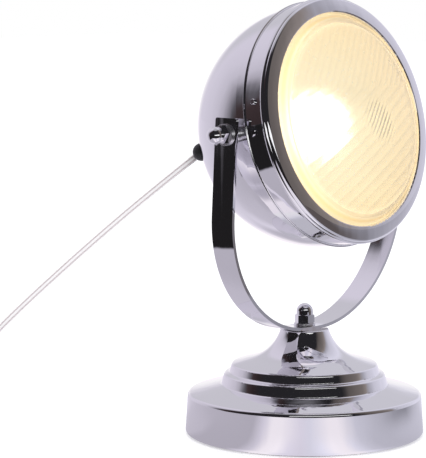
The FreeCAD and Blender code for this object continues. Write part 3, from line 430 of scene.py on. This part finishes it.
# %% Polished and satin chrome
def chrome_finish(name, rough):
    material, tree, feed = finish_of(name, Base_Color=(0.86, 0.855, 0.88, 1), Metallic=1.0)
    cloud = noise(tree, place_on(tree), 38.0, 4.0)
    marks = noise(tree, place_on(tree, turn=(0.4, 0.3, 0.9), scale=(1, 14, 1)), 60.0, 3.0)
    ripple = noise(tree, place_on(tree, scale=(1, 1, 0.08)), 55.0, 2.0)
    feed(
        Roughness=cloud.step(0.45, 0.75) * 0.035 + marks.step(0.55, 0.8) * 0.02 + rough,
        Normal=bump(tree, ripple + cloud * 0.06, 0.30, 0.0008),
    )
    return material


chrome = chrome_finish("polished_chrome", rough=0.027)
satin_chrome = chrome_finish("satin_chrome", rough=0.3)
print("made", chrome.name, "and", satin_chrome.name)

# %% [markdown]
# ## The other finishes
# Behind the chrome are plain workshop materials: zinc-plated steel, cast iron, hardboard, felt, black rubber and
# black mouldings. One colour each would do from afar, but up close each needs its own grain, at the scale that the
# real one has. Noise on object coordinates gives it without any unwrapping.

# %% Zinc-plated steel, brass and the bulb's cap
def grained_metal(name, colour, dark, rough, grain, height):
    material, tree, feed = finish_of(name, Metallic=1.0)
    speckle = noise(tree, place_on(tree), grain, 5.0)
    feed(
        Base_Color=mix_colour(tree, speckle, dark, colour),
        Roughness=speckle * 0.18 + rough,
        Normal=bump(tree, speckle, 0.25, height),
    )
    return material


zinc_steel = grained_metal("zinc_plated_steel", (0.72, 0.72, 0.74), (0.52, 0.52, 0.55), 0.22, 900.0, 0.00003)
bright_brass = grained_metal("bright_brass", (0.90, 0.72, 0.36), (0.74, 0.56, 0.26), 0.16, 700.0, 0.00002)
plated_cap = grained_metal("plated_cap", (0.82, 0.80, 0.74), (0.66, 0.64, 0.58), 0.2, 700.0, 0.00002)
print("made", zinc_steel.name, bright_brass.name, plated_cap.name)

# %% Cast iron, hardboard and felt
def cast_iron_finish():
    material, tree, feed = finish_of("painted_cast_iron", Metallic=0.0)
    grit = noise(tree, place_on(tree), 450.0, 6.0, 0.7)
    feed(
        Base_Color=mix_colour(tree, grit, (0.012, 0.012, 0.013), (0.05, 0.048, 0.046)),
        Roughness=grit * 0.3 + 0.5,
        Normal=bump(tree, grit, 0.6, 0.0004),
    )
    return material


def hardboard_finish():
    material, tree, feed = finish_of("brown_hardboard", Roughness=0.75)
    fibres = noise(tree, place_on(tree, scale=(1, 9, 1)), 260.0, 6.0, 0.7)
    feed(
        Base_Color=mix_colour(tree, fibres, (0.07, 0.035, 0.016), (0.20, 0.11, 0.05)),
        Normal=bump(tree, fibres, 0.4, 0.0001),
    )
    return material


def felt_finish():
    material, tree, feed = finish_of("black_felt", Roughness=0.95, Sheen_Weight=0.6, Sheen_Roughness=0.5)
    hair = noise(tree, place_on(tree), 1500.0, 5.0, 0.8)
    matting = noise(tree, place_on(tree), 120.0, 3.0)
    shade = (hair * 0.7 + matting * 0.3).clamp()
    feed(
        Base_Color=mix_colour(tree, shade, (0.006, 0.006, 0.007), (0.045, 0.044, 0.047)),
        Normal=bump(tree, hair, 0.8, 0.0003),
    )
    return material


cast_iron, hardboard, felt = cast_iron_finish(), hardboard_finish(), felt_finish()
print("made", cast_iron.name, hardboard.name, felt.name)

# %% Black rubber, black mouldings and cream silicone
def black_moulding(name, colour, rough, grain, height):
    material, tree, feed = finish_of(name)
    grit = noise(tree, place_on(tree), grain, 4.0, 0.6)
    lighter = tuple(value * 2.2 + 0.004 for value in colour)
    feed(
        Base_Color=mix_colour(tree, grit, colour, lighter),
        Roughness=grit * 0.2 + rough,
        Normal=bump(tree, grit, 0.3, height),
    )
    return material


def silicone_finish():
    material, tree, feed = finish_of("cream_silicone", Roughness=0.5)
    cloud = noise(tree, place_on(tree), 300.0, 3.0)
    feed(Base_Color=mix_colour(tree, cloud, (0.90, 0.80, 0.58), (0.96, 0.88, 0.68)))
    return material


rubber = black_moulding("black_rubber", (0.010, 0.010, 0.011), 0.38, 800.0, 0.00006)
bakelite = black_moulding("black_bakelite", (0.016, 0.012, 0.010), 0.22, 300.0, 0.00003)
case_plastic = black_moulding("black_case_plastic", (0.012, 0.012, 0.013), 0.26, 1400.0, 0.00004)
silicone = silicone_finish()
print("made", rubber.name, bakelite.name, case_plastic.name, silicone.name)

# %% [markdown]
# ## The flex's skin
# Through the clear skin we see the tinned strands of both wires, and the light passes between them. Real glassy
# skin over real strands would be slow and noisy at this size, so we paint both on one surface under a clear coat,
# with the light that passes painted as near-white skin. The UV map of the flex carries the pattern: the strands
# are a slanting wave, and the wires are two bands.

# %% Clear skin over tinned wires
def flex_finish():
    material, tree, feed = finish_of("clear_twin_flex", Coat_Weight=1.0, Coat_Roughness=0.08, IOR=1.5)
    along, around, _ = split(tree, make(tree, "UVMap", {"uv_map": "along"}))
    twist, strands_around = 1400.0, 10
    strands = ((along * twist + around * (2 * math.pi * strands_around)).sin() * 0.5 + 0.5) ** 2.0
    # Twice round the flex, this wave has its top at a wire's outer side and its low at the waist.
    off_wire = (around * (4 * math.pi) - 0.4 * math.pi).sin() + 0.3
    wire = (1 - off_wire * off_wire * 2.4).clamp()
    shade = (strands * 0.12 + wire * 0.9).clamp()
    feed(
        # Off the wires the skin is painted near white: painted light passing through the clear skin, which here is
        # opaque.
        Base_Color=mix_colour(tree, shade, (1.0, 0.99, 0.99), (0.60, 0.52, 0.53)),
        Metallic=strands * wire * 0.2,
        Roughness=strands * 0.15 + 0.25,
        Normal=bump(tree, strands, 0.25, 0.0001),
    )
    return material


clear_flex = flex_finish()
flex.data.materials.append(clear_flex)
print("made", clear_flex.name)

# %% [markdown]
# ## The light inside
# The lamp is on. The opal bulb is the brightest thing by far, and the bowl-shaped reflector spreads a warm glow
# behind the lens that fades towards its rim. A lamp inside the head would need thousands of samples to come
# through the glass cleanly, so the bulb and the reflector glow by themselves. We measure from the head's own axis.

# %% The head's axis
head_tilt = math.radians(12.5)
head_axis = Vector((0, -math.cos(head_tilt), math.sin(head_tilt)))
head_middle = Vector((0, -12.874 * mm, 233.582 * mm))
head_place = Matrix.Translation(head_middle) @ Matrix.Rotation(math.pi / 2 - head_tilt, 4, "X")


def off_axis(tree):
    """The depth along the head's axis and the squared distance from it, in metres."""
    x, y, z = split(tree, place_on(tree, shift=tuple(-v for v in head_middle)))
    depth = y * head_axis.y + z * head_axis.z
    return depth, x * x + y * y + z * z - depth * depth


print("the head looks along", [round(v, 3) for v in head_axis])

# %% Opal bulb and glowing reflector
def bulb_finish():
    base = (1, 0.95, 0.86, 1)
    material, tree, feed = finish_of("opal_bulb", Base_Color=base, Roughness=0.3, Emission_Strength=2.5)
    cloud = noise(tree, place_on(tree), 60.0, 2.0)
    feed(Emission_Color=mix_colour(tree, cloud, (1.0, 0.90, 0.72), (1.0, 0.95, 0.84)))
    return material


def reflector_finish():
    material, tree, feed = finish_of("glowing_reflector", Metallic=1.0, Roughness=0.4, Emission_Strength=0.86)
    # The reflector's glow is painted light from the bulb: brighter and paler deep in the bowl, warmer and dimmer
    # towards the mouth, where the metal's colour is darker too.
    depth, _ = off_axis(tree)
    mouth, bottom = 0.030, -0.036
    deep = depth.step(mouth, bottom)
    feed(
        Emission_Color=mix_colour(tree, deep, (1.0, 0.81, 0.50), (1.0, 0.91, 0.66)),
        Base_Color=mix_colour(tree, deep, (0.22, 0.18, 0.11), (0.26, 0.23, 0.16)),
    )
    return material


opal, glowing = bulb_finish(), reflector_finish()
print("made", opal.name, "and", glowing.name)

# %% [markdown]
# ## The glass
# The front glass is clear where it is domed and frosted where it turns down to its flange, and its shoulder
# catches the light of the bulb, painted on as a faint warm glow. One material does both: masks on the distance
# from the head's axis say where each begins.

# %% Clear and frosted glass
def lens_finish():
    """Clear over the dome, frosted and a little yellower on the conical shoulder and the flange."""
    material, tree, feed = finish_of("pressed_glass", Transmission_Weight=1.0, IOR=1.46, Emission_Strength=0.10)
    _, away = off_axis(tree)

    def beyond(start, end):
        """0 at the start radius and 1 at the end radius."""
        return away.step(start ** 2, end ** 2)

    # From the dome outwards: the lit edge, painted light from the bulb as a faint glow, the frosted flank, and the
    # hem, a yellower band half-way down it.
    lit = beyond(0.066, 0.0735)
    frosted = beyond(0.0705, 0.0738)
    hem = beyond(0.0745, 0.0757) * beyond(0.0774, 0.0763)
    grain = noise(tree, place_on(tree), 400.0, 3.0)
    flank = mix_colour(tree, hem, (1.0, 0.95, 0.82), (0.96, 0.80, 0.50))
    feed(
        Base_Color=mix_colour(tree, frosted, (1.0, 0.985, 0.95), flank),
        Roughness=frosted * 0.25 + grain * 0.05 + 0.24,
        Emission_Color=mix_colour(tree, lit, (0.0, 0.0, 0.0), (1.0, 0.84, 0.62)),
    )
    return material


lens_glass = lens_finish()
print("made", lens_glass.name)

# %% [markdown]
# ## The fluted glass
# The front glass is pressed: smooth and domed outside, with fine flutes inside that spread the light. Bump alone
# would vanish from the mesh, and the flutes follow a rule, so Geometry Nodes are the right tool. One grid becomes
# a disc, its rim is drawn down to the flange ring by ring, and a second grid closes the back. The grid is fine
# across the flutes and coarse along them.

# %% The lens in metres
lens_sizes = {
    "Cells across": 401, "Cells along": 61,
    "Shoulder radius": 0.0740, "Shoulder height": 0.0355, "Sag": 0.0085, "Inner sag": 0.0069,
    "Upper pitch": 0.0058, "Upper depth": 0.00011,
    "Lower pitch": 0.0074, "Lower depth": 0.00025,
    "Block pitch": 0.0036, "Block depth": 0.00050,
}
lens_rims = {
    "Foot": (0.0784, 0.0292),
    "Flange front": (0.0845, 0.0292),
    "Flange back": (0.0845, 0.0264),
    "Inner foot": (0.0752, 0.0264),
    "Inner shoulder": (0.0708, 0.0339),
}
for rim, (radius, height) in lens_rims.items():
    lens_sizes[rim + " radius"] = radius
    lens_sizes[rim + " height"] = height
print("lens: inputs of the tree:", len(lens_sizes), "and rings:", len(lens_rims))

# %% The rule for the flutes
upper_slant, lower_slant, block_slant = 36, 62, 40
upper_from = 0.022
block_middle, block_half = (0.0180, 0.0105), (0.018, 0.014)


def flute(across, pitch, depth):
    """A row of rounded ribs: the height at this place across them."""
    phase = (across / pitch).math("FRACT") * 2 - 1
    return (1 - phase * phase) * depth


def rib_height(x, y, inputs):
    """Three fields of ribs: steep ones above, slanting ones below, and a block of fine prisms at the right."""
    def turned(degrees):
        turn = math.radians(degrees)
        return x * math.cos(turn) - y * math.sin(turn), x * math.sin(turn) + y * math.cos(turn)

    def field(name, degrees):
        across, _ = turned(degrees)
        return flute(across + 1.0, inputs[name + " pitch"], inputs[name + " depth"])

    across, along = turned(block_slant)
    across, along = (across - block_middle[0]) / block_half[0], (along - block_middle[1]) / block_half[1]
    inside = (across * across + along * along).step(1.5, 0.2)
    above = y.greater(upper_from)
    ribs = field("Upper", upper_slant) * above + field("Lower", lower_slant) * (1 - above)
    return field("Block", block_slant) * inside + ribs * (1 - inside)


# %% Helpers for the lens tree
def position(tree):
    """The x, y and z of each point of a mesh."""
    return split(tree, make(tree, "GeometryNodeInputPosition"))


def moved(tree, mesh, x, y, z, selection=None):
    """Moves the mesh's points, or the selected ones, to these places."""
    place = make(tree, "CombineXYZ", X=x, Y=y, Z=z)
    return make(tree, "GeometryNodeSetPosition", Geometry=mesh, Position=place, Selection=selection)


# %% The tree of the lens
grid_turn = math.radians(50)
crease_angle = 0.45


def lens_tree(sizes, rims):
    """A tree that presses the lens from its named sizes, one ring after the other."""
    tree = bpy.data.node_groups.new("pressed_lens", "GeometryNodeTree")
    for name, value in sizes.items():
        kind = "NodeSocketInt" if isinstance(value, int) else "NodeSocketFloat"
        tree.interface.new_socket(name, in_out="INPUT", socket_type=kind).default_value = value
    tree.interface.new_socket("Glass", in_out="INPUT", socket_type="NodeSocketMaterial")
    tree.interface.new_socket("Geometry", in_out="OUTPUT", socket_type="NodeSocketGeometry")
    start = make(tree, "NodeGroupInput")
    inputs = {name: start.output(name) for name in [*sizes, "Glass"]}

    # A square grid from -1 to 1 is squeezed into a disc, so no cell meets a pole.
    grid = make(
        tree, "GeometryNodeMeshGrid", Size_X=2.0, Size_Y=2.0,
        Vertices_X=inputs["Cells across"], Vertices_Y=inputs["Cells along"],
    )
    u, v, _ = position(tree)
    disc_u, disc_v = u * (1 - v * v * 0.5) ** 0.5, v * (1 - u * u * 0.5) ** 0.5
    disc_x = disc_u * math.cos(grid_turn) + disc_v * math.sin(grid_turn)
    disc_y = disc_v * math.cos(grid_turn) - disc_u * math.sin(grid_turn)

    def dome(radius, edge, sag, ribbed):
        """The grid as a domed disc of this radius, whose rim lies at the edge height."""
        x, y = disc_x * radius, disc_y * radius
        away = x * x + y * y
        ball = (radius * radius + sag * sag) / (sag * 2)
        height = (ball * ball - away) ** 0.5 - ball + sag + edge
        if ribbed:
            # The ribs die out towards the rim, so that the rim itself stays round and flat.
            fade = (radius * radius - away).step(0.00006, 0.00030)
            height = height - rib_height(x, y, inputs) * fade
        return moved(tree, grid, x, y, height)

    body = dome(inputs["Shoulder radius"], inputs["Shoulder height"], inputs["Sag"], ribbed=False)
    for name in rims:
        radius, height = inputs[name + " radius"], inputs[name + " height"]
        rim = make(tree, "GeometryNodeInputMeshEdgeNeighbors").smaller(1.5)
        drawn = make(
            tree, "GeometryNodeExtrudeMesh", {"mode": "EDGES"},
            Mesh=body, Selection=rim, Offset_Scale=0.0,
        )
        x, y, _ = position(tree)
        share = (x * x + y * y) ** -0.5 * radius
        body = moved(tree, drawn, x * share, y * share, height, drawn.output("Top"))
    last_radius, last_height = inputs["Inner shoulder radius"], inputs["Inner shoulder height"]
    inner = dome(last_radius, last_height, inputs["Inner sag"], ribbed=True)
    inner = make(tree, "GeometryNodeFlipFaces", Mesh=inner)
    both = make(tree, "GeometryNodeJoinGeometry", Geometry=[inner, body])
    whole = make(tree, "GeometryNodeMergeByDistance", Geometry=both, Distance=0.000002)
    x, y, _ = position(tree)
    outside = (x * x + y * y).greater((last_radius - 0.0004) ** 2)
    crease = make(tree, "GeometryNodeInputMeshEdgeAngle").greater(crease_angle) * outside
    whole = make(tree, "GeometryNodeSetShadeSmooth", Geometry=whole, Shade_Smooth=True)
    whole = make(
        tree, "GeometryNodeSetShadeSmooth", {"domain": "EDGE"},
        Geometry=whole, Selection=crease, Shade_Smooth=False,
    )
    whole = make(tree, "GeometryNodeRealizeInstances", Geometry=whole)
    whole = make(tree, "GeometryNodeSetMaterial", Geometry=whole, Material=inputs["Glass"])
    make(tree, "NodeGroupOutput", places=(whole,))
    return tree


# %% Press the lens
def pressed(name, tree, material):
    """Runs the tree on an empty mesh and keeps the result as a plain mesh in the head's place."""
    blank = add_object(name + "_blank", bpy.data.meshes.new(name + "_blank"))
    modifier = blank.modifiers.new("press", "NODES")
    modifier.node_group = tree
    socket = next(item for item in tree.interface.items_tree if item.name == "Glass")
    modifier[socket.identifier] = material
    bpy.context.view_layer.update()
    mesh = bpy.data.meshes.new_from_object(blank.evaluated_get(bpy.context.evaluated_depsgraph_get()))
    mesh.name = name
    bpy.data.objects.remove(blank)
    mesh.transform(head_place)
    return add_object(name, mesh)


fluted_lens = pressed("fluted_lens", lens_tree(lens_sizes, lens_rims), lens_glass)
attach(fluted_lens, "head")
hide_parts("lens")
print("lens:", len(fluted_lens.data.polygons), "faces")

# %% [markdown]
# ## Dress the frame
# The record names a material slot for each piece. We could dress the pieces one by one, but one table from slot to
# finish dresses them all. Only the gasket, the washers and the spacers get a finish of their own. The coil lies
# put away beside the lamp, so we keep it out of the mirrors as well.

# %% Put the finishes on the frame's pieces
finish_by_slot = {
    "chrome": chrome,
    "zinc_steel": zinc_steel,
    "cast_iron": cast_iron,
    "hardboard": hardboard,
    "felt": felt,
    "lens_glass": lens_glass,
    "bulb_glass": opal,
    "reflector": glowing,
    "cap_metal": plated_cap,
    "bakelite": bakelite,
    "black_rubber": rubber,
    "black_plastic": case_plastic,
    "brass": bright_brass,
    "clear_flex": clear_flex,
}
own_finish = {
    "lens_gasket": silicone,
    "pivot_washers": satin_chrome,
    "pivot_spacers": satin_chrome,
    "dome_nut_washer": satin_chrome,
}
slot_of = {row["node"]: row["material_slot"] for row in frame["record"]["subparts"]}
for name, piece in nodes.items():
    piece.data.materials.clear()
    piece.data.materials.append(own_finish.get(name, finish_by_slot[slot_of[name]]))
print("finishes:", len({*finish_by_slot.values(), *own_finish.values()}))

# %% Keep the coil out of the mirrors
for piece in (flex, *on_the_flex):
    piece.visible_glossy = False
print("kept out of the mirrors:", 1 + len(on_the_flex), "pieces")

# %% [markdown]
# ## The room
# Chrome needs a room to mirror. Ours is a white table before pale walls, with a grey ceiling and a dark room behind
# the camera. We could build and light its walls, but nothing else would ever show them. So polished metal sees it
# painted by bearing, the angle round the lamp, which is 0 towards the camera and grows to its right. Camera rays
# see plain white there, and the table keeps the lamp's shadow.

# %% The table
table = add_object("table_top", bpy.data.meshes.new("table_top"))
shape = bmesh.new()
bmesh.ops.create_grid(shape, x_segments=1, y_segments=1, size=6.0)
shape.to_mesh(table.data)
shape.free()
print("table:", [round(v, 1) for v in table.dimensions])

# %% How bright the room is, by bearing in degrees
# The table's stops are painted light and shade as the mirrors see it: near the lamp and behind it the table is
# darker, a painted shadow of the lamp.
table_near_glow = [
    (-180, 0.50), (-150, 0.52), (-135, 0.74), (-118, 0.58), (-88, 0.55), (-78, 0.47), (-43, 0.46), (-34, 0.66),
    (-27, 0.95), (-19, 1.0), (-11, 0.79), (-3, 0.72), (4, 0.72), (11, 0.84), (19, 1.0), (27, 0.95), (34, 0.76),
    (42, 0.61), (52, 0.52), (66, 0.51), (85, 0.55), (118, 0.60), (135, 0.76), (150, 0.52), (180, 0.50),
]
table_far_glow = [
    (-180, 1.0), (-168, 0.98), (-156, 0.74), (-128, 0.66), (-110, 0.56), (-88, 0.50), (-43, 0.46), (-34, 0.68),
    (-27, 0.92), (-19, 0.92), (-3, 0.74), (4, 0.72), (19, 0.92), (27, 0.92), (42, 0.61), (66, 0.48), (82, 0.34),
    (97, 0.27), (106, 0.40), (116, 0.54), (128, 0.66), (150, 0.78), (168, 0.98), (180, 1.0),
]
wall_glow = [
    (-180, 0.72), (-158, 0.72), (-143, 0.71), (-128, 0.68), (-113, 0.60), (-104, 0.46), (-98, 0.26), (-93, 0.11),
    (-88, 0.04), (-78, 0.022), (-66, 0.02), (52, 0.02), (64, 0.10), (85, 0.17), (93, 0.25), (101, 0.41),
    (112, 0.61), (127, 0.70), (142, 0.80), (180, 0.78),
]
print("stops on the table:", len(table_near_glow), len(table_far_glow), "and on the walls:", len(wall_glow))

# %% Paint by bearing
room_front = (-0.758, -0.652)


def from_lamp(tree, vector):
    """How far a point lies towards the camera, to the camera's right and up, and its bearing in radians."""
    x, y, up = split(tree, vector)
    toward = x * room_front[0] + y * room_front[1]
    right = x * -room_front[1] + y * room_front[0]
    return toward, right, up, right.bearing(toward)


def tint(degrees, level, browned):
    """Faintly lavender where the light is pale. Browned walls are warmer in their gloom."""
    if browned and degrees > 60 and level < 0.35:
        return (1.12, 0.97, 0.92)
    if browned and degrees < -70 and level < 0.05:
        return (1.25, 0.86, 0.92)
    if level > 0.85:
        return (1.0, 0.94, 1.0)
    return (1.0, 0.945, 1.09) if degrees < 0 else (1.0, 0.98, 1.13)


def by_bearing(tree, bearing, glow, browned=False):
    """A ramp of grey light round the lamp."""
    stops = []
    for degrees, level in glow:
        colour = tuple(min(level * share, 1.0) for share in tint(degrees, level, browned))
        stops.append((degrees / 360 + 0.5, colour))
    return make(tree, "ValToRGB", {"stops": stops}, Fac=bearing * (0.5 / math.pi) + 0.5)


# %% The table's finish
near_reach, far_reach = 0.14, 0.28
front_edge, left_edge, right_edge, edge_blur = 0.42, 0.33, 0.45, 0.03


def table_finish():
    """White under the camera's rays. In polished metal it ends in the dark room in front of it."""
    material = bpy.data.materials.new("white_table")
    material.use_nodes = True
    tree = material.node_tree
    tree.nodes.clear()
    toward, right, _, bearing = from_lamp(tree, place_on(tree))
    reach = (toward * toward + right * right) ** 0.5
    near, far = by_bearing(tree, bearing, table_near_glow), by_bearing(tree, bearing, table_far_glow)
    # Near the lamp the near stops hold the painted shadow of the lamp; farther out the table is brighter.
    glow = mix_colour(tree, reach.step(near_reach, far_reach), near, far)
    past_edge = (toward - front_edge).most(right * -1 - left_edge).most(right - right_edge).step(0.0, edge_blur)
    in_front = bearing.step(-1.50, -1.42) * bearing.step(1.75, 1.50)
    gloom = mix_colour(tree, bearing.step(0.9, 1.2), (0.014, 0.013, 0.014), (0.105, 0.088, 0.088))
    mirror = make(tree, "Emission", Color=mix_colour(tree, past_edge * in_front, glow, gloom), Strength=1.04)
    paint = make(tree, "BsdfDiffuse", Color=(0.86, 0.86, 0.87, 1))
    lift = make(tree, "Emission", Color=(1, 1, 1, 1), Strength=0.35)
    plain = make(tree, "AddShader", places=(paint, lift))
    mirrored = make(tree, "LightPath").output("Is Glossy Ray")
    finish = make(tree, "MixShader", places=(mirrored, plain, mirror))
    make(tree, "OutputMaterial", places=(finish,))
    return material


table.data.materials.append(table_finish())
print("made", table.data.materials[0].name)

# %% The walls and the ceiling, as the world
def room_world():
    """Walls by bearing in polished metal, even light on everything else, and white for the camera."""
    world = bpy.data.worlds.new("room")
    world.use_nodes = True
    tree = world.node_tree
    tree.nodes.clear()
    _, _, up, bearing = from_lamp(tree, make(tree, "TexCoord").output("Generated"))
    # With height the dark room leans to the right, its left side more than its right one.
    at_right = bearing.step(-0.9, 0.9)
    lean = (up - 0.4).clamp() * (1 - at_right) + up * 0.15 * at_right
    walls = by_bearing(tree, bearing - lean, wall_glow, browned=True)
    # The wall behind the lamp, where the bearing is largest, is white at the table and shaded above.
    bearing_squared = bearing * bearing
    shaded = bearing_squared.step(6.2, 7.6) * up.step(0.08, 0.34) * 0.8
    walls = mix_colour(tree, shaded, walls, (0.59, 0.58, 0.63))
    grazing = bearing_squared.step(6.8, 9.0) * up.step(0.27, 0.03)
    walls = mix_colour(tree, grazing, walls, (1.0, 0.98, 1.0))
    # The ceiling comes last, and then what each kind of ray sees.
    room = mix_colour(tree, up.step(0.90, 0.99), walls, (0.46, 0.45, 0.49))
    ray = make(tree, "LightPath")
    light = mix_colour(tree, ray.output("Is Glossy Ray"), (0.92, 0.92, 0.94), room)
    seen = ray.output("Is Camera Ray").most(ray.output("Is Transmission Ray"))
    sky = make(tree, "Background", Color=mix_colour(tree, seen, light, (1.0, 1.0, 1.0)))
    make(tree, "OutputWorld", places=(sky,))
    return world


bpy.context.scene.world = room_world()
print("made", bpy.context.scene.world.name)

# %% [markdown]
# ## The lamps
# One soft lamp hangs overhead, and chrome doesn't show it. A wide, low softbox stands close in front. Painted on
# the far walls, it would show at the same place in every mirror, but a real one is near, and shifts from step to
# step of the base. So it is a lamp with weak light that polished metal sees.

# %% A soft lamp overhead and a softbox in front
def soft_lamp(name, place, aim, width, height, power, mirrored=False):
    lamp = add_object(name, bpy.data.lights.new(name, "AREA"))
    lamp.data.shape = "RECTANGLE"
    lamp.data.size, lamp.data.size_y = width, height
    lamp.data.energy = power
    lamp.location = place
    lamp.rotation_euler = (Vector(aim) - Vector(place)).to_track_quat("-Z", "Y").to_euler()
    lamp.visible_glossy = mirrored
    lamp.visible_camera = False
    return lamp


overhead = soft_lamp("overhead", (0.0, 0.1, 1.6), (0, 0, 0.15), width=0.6, height=0.6, power=6.0)
softbox = soft_lamp(
    "softbox", (-0.259, -0.380, 0.294), (0, 0, 0.294), width=0.52, height=0.102, power=0.19, mirrored=True
)
print("lamps:", overhead.name, softbox.name)

# %% [markdown]
# ## The view transform
# The picture is shown with the Standard view transform.

# %% Use the Standard view transform
bpy.context.scene.view_settings.view_transform = "Standard"
